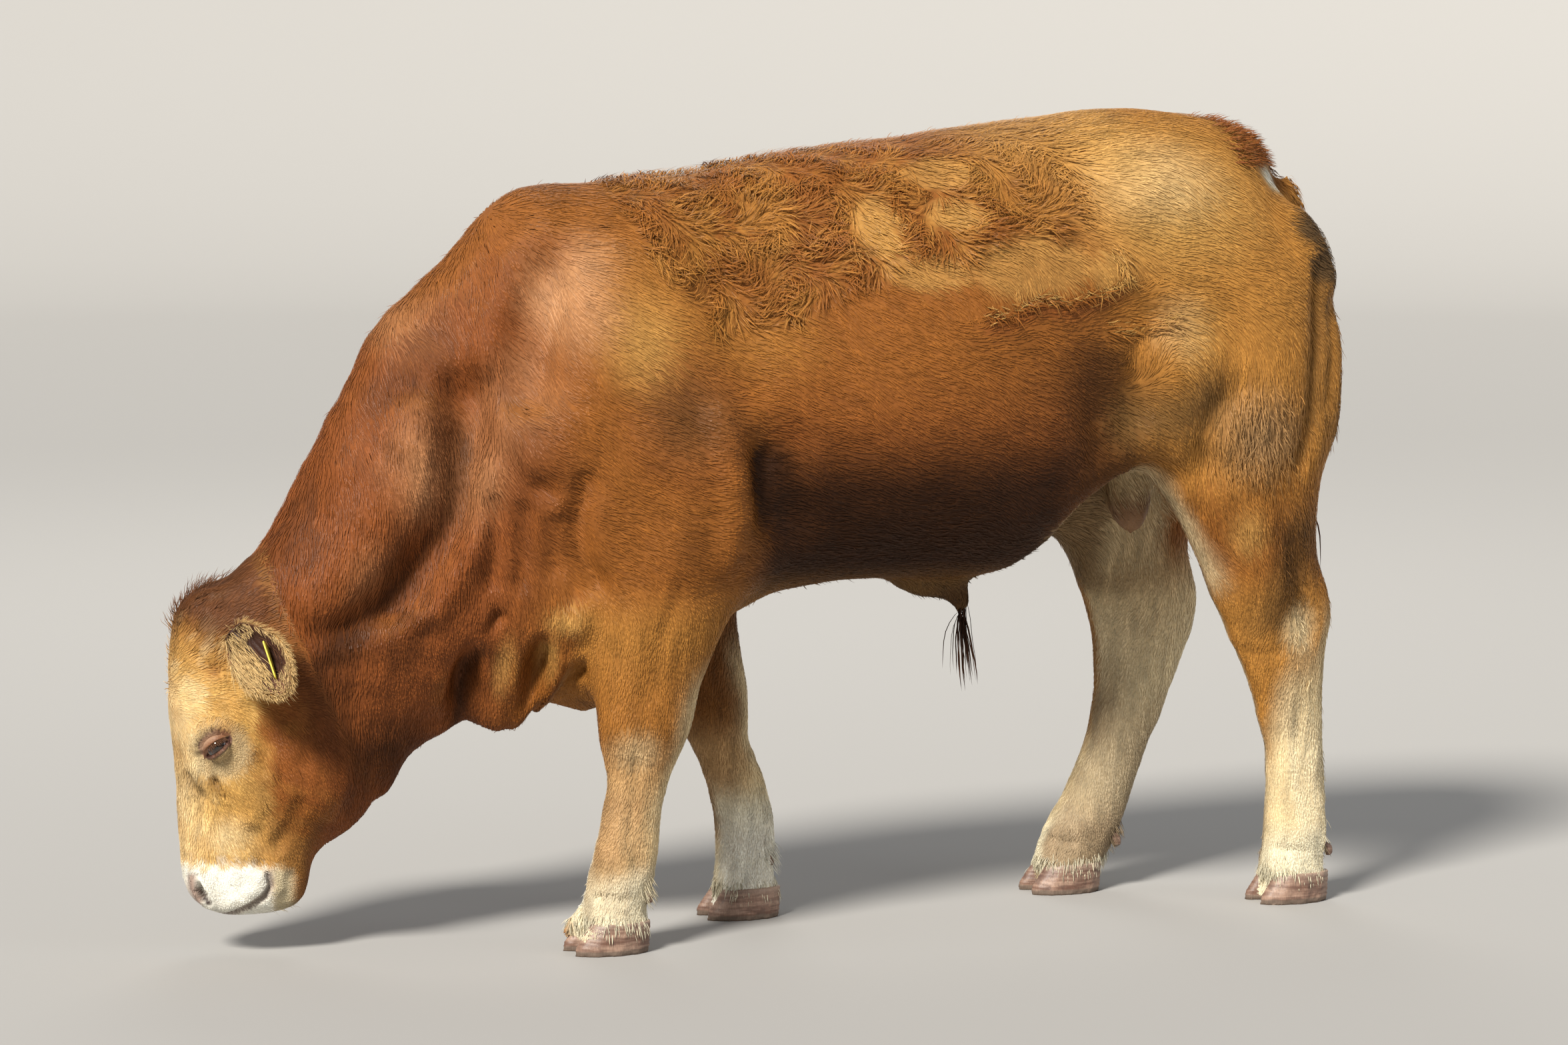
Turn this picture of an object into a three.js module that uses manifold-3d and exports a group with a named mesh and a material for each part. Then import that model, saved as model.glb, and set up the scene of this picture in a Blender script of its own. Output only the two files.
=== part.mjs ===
// A young polled beef bull, life size, grazing with its head down and its legs in a slow stride.
// Millimetres, +Z up. The head points to -X, the animal's left side faces -Y.
//
// The flesh is one soft body: a smooth union of lofts, limbs and balls, each named for the muscle or
// bone that it stands for. Each region is meshed at its own cell size, and flat cuts part the regions.
import * as THREE from 'three';
import { mergeVertices } from 'three/addons/utils/BufferGeometryUtils.js';
import Module from 'manifold-3d';

const wasm = await Module();
wasm.setup();

// ---------------------------------------------------------------- driving dimensions
const WITHERS_HEIGHT = 1245;
const RUMP_HEIGHT = 1347;
const CHEST_HALF_WIDTH = 236;
const BARREL_HALF_WIDTH = 274;
const RUMP_HALF_WIDTH = 236;
const HEAD_LENGTH = 535;
const HEAD_TURN = THREE.MathUtils.degToRad(20);   // the head turns this far to the animal's right
const HEAD_FOOT = new THREE.Vector3(-1000, 85, 0);  // on the floor below the middle of the head
const MUZZLE_CLEARANCE = 60;                      // from the floor to the lips
const CORONET_HEIGHT = 52;                        // where the skin ends and the claws begin
const CLAW = { length: 130, width: 54, spread: 5, toeOut: 0.06 };
const EYE = { radius: 21, forward: 69, height: 346, left: 88 };
const EAR = { halfWidth: 45, curl: 1.3, sag: 16, roundRoot: 0.14 };
const TAG = { long: 64, wide: 44, thick: 2.6, corner: 7 };
const GAP = 0.3;                                  // between solids that touch
const DOWN = new THREE.Vector3(0, 0, -1);
const LEFT = -1;
const RIGHT = 1;

// ---------------------------------------------------------------- colours
const finish = (color, roughness) => () => new THREE.MeshStandardMaterial({ color, roughness, metalness: 0 });
const redCoat = finish(0x7d3f1f, 0.85);
const tanCoat = finish(0xa9662f, 0.85);
const paleCoat = finish(0xcfa678, 0.85);
const darkCoat = finish(0x4a2414, 0.9);
const horn = finish(0x6a4636, 0.5);
const eyeball = finish(0x1c100b, 0.1);
const yellowPlastic = finish(0xd8d23a, 0.45);

// ---------------------------------------------------------------- soft shapes as distance fields
const V = (x, y, z) => new THREE.Vector3(x, y, z);
const mix = THREE.MathUtils.lerp;
const clamp = THREE.MathUtils.clamp;

/** The smaller of two distances, rounded off where they come within `reach` of each other. */
function softMin(a, b, reach) {
  const h = Math.max(reach - Math.abs(a - b), 0) / reach;
  return Math.min(a, b) - h * h * reach / 4;
}

const softMax = (a, b, reach) => -softMin(-a, -b, reach);

/** A smooth curve through the rows [position, value, value, ...], as a function that fills `out`. */
function smoothTable(rows) {
  const count = rows[0].length - 1;
  const slope = (i, k) => {
    const [a, b] = [rows[Math.max(i - 1, 0)], rows[Math.min(i + 1, rows.length - 1)]];
    return (b[k] - a[k]) / (b[0] - a[0]);
  };
  return (position, out) => {
    const t = clamp(position, rows[0][0], rows[rows.length - 1][0]);
    let i = 0;
    while (i < rows.length - 2 && t > rows[i + 1][0]) i += 1;
    const span = rows[i + 1][0] - rows[i][0];
    const f = (t - rows[i][0]) / span;
    const [f2, f3] = [f * f, f * f * f];
    for (let k = 1; k <= count; k += 1) {
      out[k - 1] = (2 * f3 - 3 * f2 + 1) * rows[i][k] + (f3 - 2 * f2 + f) * span * slope(i, k)
        + (3 * f2 - 2 * f3) * rows[i + 1][k] + (f3 - f2) * span * slope(i + 1, k);
    }
    return out;
  };
}

/**
 * A body along a straight axis. Each station is [distance along, top, bottom, half width,
 * height of the widest point, squareness], with heights measured along `up`.
 */
function loft({ start, along, up, stations, endRadius = 60 }) {
  const axis = along.clone().normalize();
  const side = axis.clone().cross(up).normalize();
  const rise = side.clone().cross(axis).normalize();
  const table = smoothTable(stations);
  const [first, last] = [stations[0][0], stations[stations.length - 1][0]];
  const section = [];
  const offset = V(0, 0, 0);
  return (point) => {
    offset.copy(point).sub(start);
    const t = offset.dot(axis);
    const [top, bottom, halfWidth, widest, power] = table(t, section);
    const height = offset.dot(rise) - widest;
    const reach = height > 0 ? top - widest : widest - bottom;
    const across = Math.abs(offset.dot(side)) / halfWidth;
    const level = Math.pow(Math.pow(across, power) + Math.pow(Math.abs(height) / reach, power), 1 / power);
    return softMax((level - 1) * Math.min(halfWidth, reach), Math.max(first - t, t - last), endRadius);
  };
}

/** A tapering limb through joints [point, fore-and-aft radius, sideways radius]. */
function limb(joints, reach = 20) {
  const nearest = V(0, 0, 0);
  const away = V(0, 0, 0);
  const bones = joints.slice(1).map((joint, i) => {
    const axis = joint[0].clone().sub(joints[i][0]);
    return { from: joints[i], to: joint, axis, squared: axis.lengthSq() };
  });
  return (point) => {
    let distance = Infinity;
    for (const { from, to, axis, squared } of bones) {
      const f = clamp(away.copy(point).sub(from[0]).dot(axis) / squared, 0, 1);
      nearest.copy(from[0]).addScaledVector(axis, f);
      const [deep, wide] = [mix(from[1], to[1], f), mix(from[2], to[2], f)];
      away.copy(point).sub(nearest);
      const level = Math.hypot(away.x / deep, away.y / wide, away.z / deep);
      distance = softMin(distance, (level - 1) * Math.min(deep, wide), reach);
    }
    return distance;
  };
}

/** An ellipsoid, turned about the sideways axis by `pitch` and then about the upright one by `yaw`. */
function ball(centre, radii, pitch = 0, yaw = 0) {
  const turn = new THREE.Quaternion().setFromEuler(new THREE.Euler(0, pitch, yaw, 'ZYX')).invert();
  const local = V(0, 0, 0);
  return (point) => {
    local.copy(point).sub(centre).applyQuaternion(turn);
    const near = Math.hypot(local.x / radii.x, local.y / radii.y, local.z / radii.z);
    const steep = Math.hypot(local.x / radii.x ** 2, local.y / radii.y ** 2, local.z / radii.z ** 2);
    return steep < 1e-9 ? -Math.min(radii.x, radii.y, radii.z) : near * (near - 1) / steep;
  };
}

// ---------------------------------------------------------------- the head's own frame
const HEAD_FORWARD = V(-Math.cos(HEAD_TURN), Math.sin(HEAD_TURN), 0);
const HEAD_LEFT = V(-Math.sin(HEAD_TURN), -Math.cos(HEAD_TURN), 0);

/** A point of the head: how far forward of its middle, how high, and how far to the left. */
function onHead(forward, height, left = 0) {
  return HEAD_FOOT.clone().addScaledVector(HEAD_FORWARD, forward).addScaledVector(HEAD_LEFT, left)
    .add(V(0, 0, height));
}

const headBall = (forward, height, left, radii) => ball(onHead(forward, height, left), radii, 0, -HEAD_TURN);

// ---------------------------------------------------------------- the flesh
const trunkLoft = loft({
  start: V(0, 0, 0), along: V(1, 0, 0), up: V(0, 0, 1), endRadius: 90,
  stations: [
    [-640, 1130, 470, 105, 720, 2.0],                                        // breast
    [-560, WITHERS_HEIGHT - 14, 410, 160, 730, 2.0],                         // point of the shoulder
    [-460, WITHERS_HEIGHT + 1, 418, 205, 760, 2.0],                          // withers
    [-340, WITHERS_HEIGHT - 5, 478, 226, 800, 2.0],                          // behind the withers
    [-200, 1272, 552, CHEST_HALF_WIDTH, 840, 2.1],                           // girth
    [0, 1294, 572, BARREL_HALF_WIDTH - 4, 860, 2.2],                         // last long rib
    [180, 1316, 566, BARREL_HALF_WIDTH, 880, 2.3],                           // loin
    [320, 1335, 608, BARREL_HALF_WIDTH - 16, 930, 2.4],                      // flank
    [430, RUMP_HEIGHT - 1, 676, RUMP_HALF_WIDTH + 4, 1000, 2.5],             // hooks
    [560, RUMP_HEIGHT - 10, 740, RUMP_HALF_WIDTH - 6, 1040, 2.4],            // croup
    [670, 1318, 800, RUMP_HALF_WIDTH - 40, 1050, 2.3],                       // tail head
    [752, 1225, 880, 130, 1050, 2.2],                                        // pins
  ],
});

const NECK_BASE = V(-430, 0, 850);
const NECK_AXIS = onHead(-28, 470).sub(NECK_BASE);
const neckLoft = loft({
  start: NECK_BASE, along: NECK_AXIS, up: V(0, 0, 1),
  stations: [
    [-60, 385, -300, 196, -20, 2.0],                                         // inside the shoulders
    [90, 372, -285, 182, -20, 2.0],                                          // foot of the neck
    [256, 345, -240, 158, 0, 2.0],
    [398, 276, -215, 136, 0, 2.1],                                           // middle of the neck
    [545, 203, -195, 116, 0, 2.2],
    [650, 152, -178, 100, 0, 2.2],                                           // behind the ears
    [730, 110, -140, 78, 0, 2.2],
  ],
});

const dewlapLoft = loft({
  start: NECK_BASE, along: NECK_AXIS, up: V(0, 0, 1), endRadius: 40,
  stations: [
    [120, -120, -372, 52, -240, 2.0],                                        // brisket
    [210, -110, -362, 46, -230, 2.0],
    [330, -100, -316, 38, -210, 2.0],
    [450, -90, -254, 34, -170, 2.0],
    [550, -90, -254, 34, -170, 2.0],
    [650, -90, -280, 36, -170, 2.0],
    [770, -90, -286, 38, -170, 2.0],                                         // throat
  ],
});

/** Heights are above the floor: the loft runs down the head from the poll to the lips. */
const HEAD_TOP = MUZZLE_CLEARANCE + HEAD_LENGTH;
const headStation = (height, front, back, halfWidth, widest) => [
  HEAD_TOP - height, front, back, halfWidth, widest, 2.5,
];
const headLoft = loft({
  start: onHead(0, HEAD_TOP), along: V(0, 0, -1), up: HEAD_FORWARD, endRadius: 34,
  stations: [
    headStation(HEAD_TOP, 112, 18, 56, 60),                                  // poll
    headStation(555, 144, -40, 78, 60),
    headStation(500, 152, -90, 92, 50),
    headStation(430, 156, -112, 100, 50),                                    // forehead
    headStation(370, 152, -132, 98, 60),
    headStation(300, 147, -146, 84, 20),                                     // cheek
    headStation(240, 146, -128, 70, 20),
    headStation(190, 143, -100, 61, 40),                                     // bridge of the nose
    headStation(145, 136, -70, 62, 50),
    headStation(100, 127, -50, 64, 50),                                      // muzzle
    headStation(MUZZLE_CLEARANCE, 92, -22, 46, 40),                          // lips
  ],
});

/** What both sides of the animal share: shoulder, haunch, brow and cheek, mirrored by `side`. */
const sideMasses = (side) => [
  [ball(V(-455, side * 118, 935), V(120, 86, 290), 0.36), 60],               // shoulder blade
  [ball(V(-560, side * 118, 800), V(80, 74, 120)), 60],                      // point of the shoulder
  [ball(V(-335, side * 158, 800), V(125, 74, 160)), 55],                     // upper arm
  [ball(V(430, side * 188, 1210), V(75, 48, 60)), 60],                       // hook bone
  [ball(V(735, side * 98, 1100), V(62, 55, 72)), 45],                        // pin bone
  [headBall(72, 372, side * -78, V(52, 34, 40)), 22],                        // brow
  [headBall(-62, 300, side * -56, V(80, 34, 90)), 30],                       // cheek
];

/** Joints of a leg: a row for each, [x, y, z, fore-and-aft radius, sideways radius]. */
const FORELEG_LEFT = [
  [-345, -168, 700, 122, 72],                                                // elbow
  [-400, -160, 615, 114, 66],
  [-418, -152, 510, 90, 55],                                                 // forearm
  [-430, -144, 412, 76, 49],
  [-436, -140, 364, 69, 50],                                                 // knee
  [-442, -135, 296, 45, 37],
  [-450, -130, 228, 43, 33],                                                 // cannon
  [-463, -127, 166, 47, 38],
  [-467, -124, 128, 50, 43],                                                 // fetlock
  [-479, -122, 84, 45, 43],
  [-487, -121, 44, 50, 48],                                                  // coronet
];
const FORELEG_RIGHT = [
  [-228, 172, 700, 108, 72],
  [-246, 164, 600, 86, 66],
  [-248, 150, 500, 72, 55],
  [-236, 132, 412, 66, 49],
  [-226, 122, 372, 66, 50],
  [-208, 116, 303, 44, 37],
  [-188, 111, 248, 42, 33],
  [-172, 107, 188, 45, 38],
  [-162, 106, 134, 47, 43],
  [-166, 105, 88, 42, 43],
  [-171, 104, 44, 50, 48],
];
const HINDLEG_LEFT = [
  [612, -150, 790, 176, 92],                                                 // thigh
  [648, -144, 668, 118, 70],                                                 // gaskin
  [664, -136, 590, 98, 56],
  [692, -130, 524, 86, 50],
  [706, -128, 470, 80, 48],                                                  // hock
  [722, -124, 410, 64, 43],
  [738, -116, 320, 53, 36],                                                  // cannon
  [751, -109, 240, 46, 33],
  [757, -105, 180, 48, 37],
  [766, -102, 126, 57, 44],                                                  // fetlock
  [757, -100, 82, 52, 44],
  [750, -99, 44, 57, 50],                                                    // coronet
];
const HINDLEG_RIGHT = [
  [566, 156, 790, 172, 92],
  [552, 158, 640, 112, 70],
  [566, 150, 560, 96, 56],
  [578, 144, 500, 88, 50],
  [582, 141, 452, 84, 48],
  [572, 138, 393, 68, 43],
  [552, 134, 310, 56, 36],
  [530, 131, 250, 49, 33],
  [506, 130, 190, 50, 37],
  [480, 130, 124, 57, 44],
  [450, 130, 80, 53, 44],
  [432, 130, 44, 57, 50],
];
const legLimb = (rows) => limb(rows.map(([x, y, z, deep, wide]) => [V(x, y, z), deep, wide]));

const TAIL_HEAD = [[V(690, 0, 1284), 32, 40], [V(740, 1, 1250), 30, 36], [V(768, 2, 1218), 29, 32]];
const masses = [
  [trunkLoft, 0],
  [neckLoft, 90],
  [dewlapLoft, 50],
  [ball(V(-505, 0, 500), V(120, 92, 105)), 60],                              // brisket
  [ball(V(600, -130, 905), V(240, 106, 275)), 60],                           // left thigh
  [ball(V(590, 134, 905), V(238, 106, 275)), 60],                            // right thigh
  [ball(V(400, -150, 745), V(110, 76, 130)), 50],                            // left stifle
  [ball(V(395, 155, 745), V(110, 76, 130)), 50],                             // right stifle
  [limb(TAIL_HEAD), 30],                                                     // tail head
  [legLimb(FORELEG_LEFT), 45],
  [legLimb(FORELEG_RIGHT), 45],
  [legLimb(HINDLEG_LEFT), 45],
  [legLimb(HINDLEG_RIGHT), 45],
  [ball(V(770, -128, 508), V(30, 26, 46)), 30],                              // left point of hock
  [ball(V(645, 141, 486), V(30, 26, 46)), 30],                               // right point of hock
  [headLoft, 40],
  [headBall(62, 118, 0, V(72, 70, 52)), 24],                                 // upper lip
  [headBall(-26, 106, 0, V(44, 48, 44)), 20],                                // chin
  ...sideMasses(LEFT),
  ...sideMasses(RIGHT),
];

/** Signed distance to the hide, negative inside the animal. */
function flesh(point) {
  let distance = masses[0][0](point);
  for (let i = 1; i < masses.length; i += 1) {
    distance = softMin(distance, masses[i][0](point), masses[i][1]);
  }
  return distance;
}

// ---------------------------------------------------------------- meshing a field
/** Moves a point onto the zero level of the field, along its slope. */
function settle(field, point, limit) {
  const start = point.clone();
  const step = 1.5;
  const probe = V(0, 0, 0);
  for (let pass = 0; pass < 4; pass += 1) {
    const here = field(point);
    const slope = V(
      field(probe.set(point.x + step, point.y, point.z)) - here,
      field(probe.set(point.x, point.y + step, point.z)) - here,
      field(probe.set(point.x, point.y, point.z + step)) - here,
    ).divideScalar(step);
    point.addScaledVector(slope, -here / Math.max(slope.lengthSq(), 0.05));
  }
  if (point.distanceTo(start) > limit) point.copy(start);
  return point;
}

/** Surface nets: one vertex in each cell that the surface crosses, one quad across each crossed edge. */
function meshField(field, box, cell) {
  const count = box.getSize(V(0, 0, 0)).divide(cell).toArray().map((n) => Math.ceil(n) + 1);
  const [nx, ny, nz] = count;
  const at = (i, j, k) => (k * ny + j) * nx + i;
  const place = (i, j, k) => V(i, j, k).multiply(cell).add(box.min);
  const onRim = (i, j, k) => i < 1 || j < 1 || k < 1 || i > nx - 2 || j > ny - 2 || k > nz - 2;
  const values = new Float64Array(nx * ny * nz);
  for (let k = 0; k < nz; k += 1) {
    for (let j = 0; j < ny; j += 1) {
      for (let i = 0; i < nx; i += 1) {
        const value = field(place(i, j, k));
        values[at(i, j, k)] = onRim(i, j, k) ? Math.max(value, cell.x / 2) : value;
      }
    }
  }
  const corners = [0, 1, 2, 3, 4, 5, 6, 7].map((n) => [n & 1, (n >> 1) & 1, n >> 2]);
  const edges = corners.flatMap((a, m) => corners.map((b, n) => [m, n])
    .filter(([, n]) => n > m && a.reduce((sum, c, d) => sum + Math.abs(c - corners[n][d]), 0) === 1));
  const owner = new Int32Array(nx * ny * nz).fill(-1);
  const positions = [];
  for (let k = 0; k < nz - 1; k += 1) {
    for (let j = 0; j < ny - 1; j += 1) {
      for (let i = 0; i < nx - 1; i += 1) {
        const value = corners.map(([a, b, c]) => values[at(i + a, j + b, k + c)]);
        const crossed = edges.filter(([m, n]) => (value[m] < 0) !== (value[n] < 0));
        if (crossed.length === 0) continue;
        const middle = V(0, 0, 0);
        for (const [m, n] of crossed) {
          const f = value[m] / (value[m] - value[n]);
          const [from, to] = [corners[m], corners[n]];
          middle.add(V(mix(from[0], to[0], f), mix(from[1], to[1], f), mix(from[2], to[2], f)));
        }
        middle.divideScalar(crossed.length).multiply(cell).add(place(i, j, k));
        const open = !onRim(i, j, k) && !onRim(i + 1, j + 1, k + 1);
        if (open) settle(field, middle, cell.x);
        owner[at(i, j, k)] = positions.length / 3;
        positions.push(middle.x, middle.y, middle.z);
      }
    }
  }
  const index = [];
  const steps = [V(1, 0, 0), V(0, 1, 0), V(0, 0, 1)];
  for (let k = 0; k < nz - 1; k += 1) {
    for (let j = 0; j < ny - 1; j += 1) {
      for (let i = 0; i < nx - 1; i += 1) {
        steps.forEach((step, d) => {
          if ([i, j, k].some((n, axis) => n === 0 && axis !== d)) return;
          const here = values[at(i, j, k)] < 0;
          const there = values[at(i + step.x, j + step.y, k + step.z)] < 0;
          if (here === there) return;
          const [u, v] = [steps[(d + 1) % 3], steps[(d + 2) % 3]];
          const ring = [[0, 0], [1, 0], [1, 1], [0, 1]].map(([p, q]) => (
            owner[at(i - p * u.x - q * v.x, j - p * u.y - q * v.y, k - p * u.z - q * v.z)]));
          const [a, b, c, e] = here ? ring : ring.reverse();
          index.push(a, b, c, a, c, e);
        });
      }
    }
  }
  const geometry = new THREE.BufferGeometry();
  geometry.setAttribute('position', new THREE.Float32BufferAttribute(positions, 3));
  geometry.setIndex(index);
  return geometry;
}

// ---------------------------------------------------------------- solids, cuts and joins
function toSolid(geometry) {
  const bare = geometry.clone();
  bare.deleteAttribute('normal');
  bare.deleteAttribute('uv');
  const merged = mergeVertices(bare, 1e-3);
  return new wasm.Manifold(new wasm.Mesh({
    numProp: 3,
    vertProperties: new Float32Array(merged.attributes.position.array),
    triVerts: new Uint32Array(merged.index.array),
  }));
}

function toGeometry(solid) {
  const { vertProperties, triVerts, numProp } = solid.getMesh();
  const positions = [];
  for (let i = 0; i < vertProperties.length; i += numProp) {
    positions.push(vertProperties[i], vertProperties[i + 1], vertProperties[i + 2]);
  }
  const geometry = new THREE.BufferGeometry();
  geometry.setAttribute('position', new THREE.Float32BufferAttribute(positions, 3));
  geometry.setIndex(Array.from(triVerts));
  return geometry;
}

const REACH = 4000;

/** All that lies on the side of a plane that `normal` points to, as one great block. */
function beyond(point, normal, gap = GAP / 2) {
  const block = new THREE.BoxGeometry(REACH, REACH, REACH);
  const direction = normal.clone().normalize();
  block.applyQuaternion(new THREE.Quaternion().setFromUnitVectors(V(0, 0, 1), direction));
  const middle = point.clone().addScaledVector(direction, REACH / 2 + gap);
  block.translate(middle.x, middle.y, middle.z);
  return toSolid(block);
}

/** A block between two corners. */
function block(low, high) {
  const size = high.clone().sub(low);
  const geometry = new THREE.BoxGeometry(size.x, size.y, size.z);
  const middle = low.clone().add(high).divideScalar(2);
  return toSolid(geometry.translate(middle.x, middle.y, middle.z));
}

/** The largest of the pieces that a cut leaves. */
function largest(solid) {
  return solid.decompose().sort((a, b) => b.volume() - a.volume())[0];
}

/** The flesh inside a box, meshed in cells of one size. */
function fleshIn(low, high, cell) {
  const margin = cell.clone().multiplyScalar(2.2);
  return toSolid(meshField(flesh, new THREE.Box3(low.clone().sub(margin), high.clone().add(margin)), cell));
}

/** Takes a host body out of a piece that sits on it, and a thin gap towards `away`. */
function seat(piece, host, away) {
  const shift = away.clone().normalize().multiplyScalar(GAP);
  return largest(piece.subtract(host).subtract(host.translate([shift.x, shift.y, shift.z])));
}

// ---------------------------------------------------------------- hard and thin pieces
/** A closed body through rings of points, with a fan at each end. */
function ringBody(rings) {
  const sides = rings[0].length;
  const positions = rings.flat().flatMap((p) => [p.x, p.y, p.z]);
  const index = [];
  for (let r = 0; r < rings.length - 1; r += 1) {
    for (let s = 0; s < sides; s += 1) {
      const [a, b] = [r * sides + s, r * sides + (s + 1) % sides];
      index.push(a, b, b + sides, a, b + sides, a + sides);
    }
  }
  const lastRing = (rings.length - 1) * sides;
  for (const [ring, start, flip] of [[rings[0], 0, true], [rings[rings.length - 1], lastRing, false]]) {
    const hub = ring.reduce((sum, p) => sum.add(p), V(0, 0, 0)).divideScalar(sides);
    const centre = positions.length / 3;
    positions.push(hub.x, hub.y, hub.z);
    for (let s = 0; s < sides; s += 1) {
      const [a, b] = [start + s, start + (s + 1) % sides];
      index.push(...(flip ? [centre, b, a] : [centre, a, b]));
    }
  }
  return facingOut(positions, index);
}

/** Turns every triangle of a closed body over if its faces point inwards. */
function facingOut(positions, index) {
  const corner = (n) => V(positions[3 * n], positions[3 * n + 1], positions[3 * n + 2]);
  let volume = 0;
  for (let t = 0; t < index.length; t += 3) {
    volume += corner(index[t]).dot(corner(index[t + 1]).cross(corner(index[t + 2])));
  }
  const geometry = new THREE.BufferGeometry();
  geometry.setAttribute('position', new THREE.Float32BufferAttribute(positions, 3));
  geometry.setIndex(volume < 0 ? index.reverse() : index);
  return geometry;
}

/** A round tapering body along a curve; `radius` is a function of the share of its length. */
function sweep(points, radius, steps, sides) {
  const curve = new THREE.CatmullRomCurve3(points);
  const frames = curve.computeFrenetFrames(steps, false);
  const rings = [];
  for (let i = 0; i <= steps; i += 1) {
    const hub = curve.getPointAt(i / steps);
    rings.push(Array.from({ length: sides }, (_, s) => {
      const angle = 2 * Math.PI * s / sides;
      return hub.clone().addScaledVector(frames.normals[i], Math.cos(angle) * radius(i / steps))
        .addScaledVector(frames.binormals[i], Math.sin(angle) * radius(i / steps));
    }));
  }
  return ringBody(rings);
}

/**
 * One claw of a cloven foot, with a flat sole, a sloping toe and an inner face that is nearly flat.
 * Each level is [share of the height, length, width, how far its middle lies behind the sole's].
 */
function claw(foot, side, turn) {
  const levels = [[0, 1, 1, 0], [0.25, 1.01, 1.01, 2], [1, 0.8, 0.93, 17]];
  const sides = 12;
  const inside = CLAW.width * 0.38;
  const rings = levels.map(([share, longer, wider, back]) => (
    Array.from({ length: sides }, (_, s) => {
      const angle = 2 * Math.PI * s / sides;
      const [ahead, out] = [Math.cos(angle), Math.sin(angle)];
      const narrow = ahead > 0 ? 1 - 0.34 * ahead * ahead : 1 - 0.08 * ahead * ahead;
      const outward = out > 0 ? CLAW.width - inside : inside;
      const length = CLAW.length / 2 * Math.sign(ahead) * Math.abs(ahead) ** 0.86 * longer;
      const width = out * outward * narrow * wider + inside + CLAW.spread / 2;
      return V(back - length, side * width, share * (CORONET_HEIGHT - GAP));
    })));
  const geometry = ringBody(rings);
  geometry.rotateZ(turn - side * CLAW.toeOut);
  return geometry.translate(foot.x, foot.y, 0);
}

/** A dewclaw: a short blunt cone of horn behind the fetlock. */
function dewclaw([x, y, z, deep], side) {
  const root = V(x + deep - 26, y + side * 20, z - 26);
  const knee = root.clone().add(V(18, side * 3, -8));
  const tip = root.clone().add(V(23, side * 5, -24));
  return sweep([root, knee, tip], (share) => 13 - 6 * share * share, 3, 6);
}

/**
 * An ear: a cupped leaf whose hollow faces `hollow`, drooping from its root to its tip.
 * The leaf is widest at 45% of its length, its rims curl towards the hollow and its root is round.
 */
function ear(root, tip, hollow) {
  const axis = tip.clone().sub(root);
  const across = axis.clone().cross(hollow).normalize();
  const facing = across.clone().cross(axis).normalize();
  const [long, wide] = [7, 6];
  const thickness = (u, v) => 5 + 8 * (1 - u) * (1 - v * v);
  const leaf = (u, v) => {
    const half = 10 + EAR.halfWidth * Math.sin(Math.PI * Math.min(u * 0.86 + 0.12, 1)) ** 0.8;
    const bend = EAR.curl * (1 - 0.55 * u);
    const droop = -EAR.sag * Math.sin(Math.PI * u);
    return root.clone().addScaledVector(axis, u - EAR.roundRoot * (1 - v * v) * (1 - u) ** 2)
      .addScaledVector(across, half * Math.sin(v * bend) / bend)
      .addScaledVector(facing, droop + half * (1 - Math.cos(v * bend)) / bend);
  };
  const rings = [];
  for (let i = 0; i <= long; i += 1) {
    const u = i / long;
    const inner = [];
    const outer = [];
    for (let j = 0; j <= wide; j += 1) {
      const v = 2 * j / wide - 1;
      inner.push(leaf(u, v).addScaledVector(facing, thickness(u, v) / 2));
      outer.push(leaf(u, v).addScaledVector(facing, -thickness(u, v) / 2));
    }
    rings.push([...inner, ...outer.reverse()]);
  }
  return ringBody(rings);
}

/** A plain plate with round corners, `long` by `wide`, lying in the plane of two directions. */
function plate(centre, along, across, { long, wide, thick, corner }) {
  const [x, y] = [long / 2 - corner, wide / 2 - corner];
  const outline = new THREE.Shape();
  outline.absarc(x, y, corner, 0, Math.PI / 2);
  outline.absarc(-x, y, corner, Math.PI / 2, Math.PI);
  outline.absarc(-x, -y, corner, Math.PI, Math.PI * 1.5);
  outline.absarc(x, -y, corner, Math.PI * 1.5, Math.PI * 2);
  const solid = new THREE.ExtrudeGeometry(outline, { depth: thick, bevelEnabled: false, curveSegments: 2 });
  const first = along.clone().normalize();
  const normal = first.clone().cross(across).normalize();
  const frame = new THREE.Matrix4().makeBasis(first, normal.clone().cross(first), normal);
  frame.setPosition(centre.clone().addScaledVector(normal, -thick / 2));
  return solid.applyMatrix4(frame);
}

// ---------------------------------------------------------------- where the body is parted
const HEAD_CUT = [onHead(0, 635), HEAD_FORWARD.clone().multiplyScalar(0.904).add(V(0, 0, -0.428))];
const NECK_CUT = [V(-588, 0, 800), V(-0.95, 0, -0.31)];
const DEWLAP_CUT = [V(-651, 0, 444), V(0.52, 0, -0.85)];
const CHEST_CUT = [V(-120, 0, 0), V(1, 0, 0)];
const BARREL_CUT = [V(345, 0, 0), V(1, 0, 0)];
const FORELEG_TOP = 625;
const HINDLEG_TOP = 700;
const TRUNK_CELL = V(92, 66, 67);
const NECK_CELL = V(64, 50, 56);
const HEAD_CELL = V(31, 31, 37);
const LEG_CELL = V(31, 30, 76);

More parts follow.
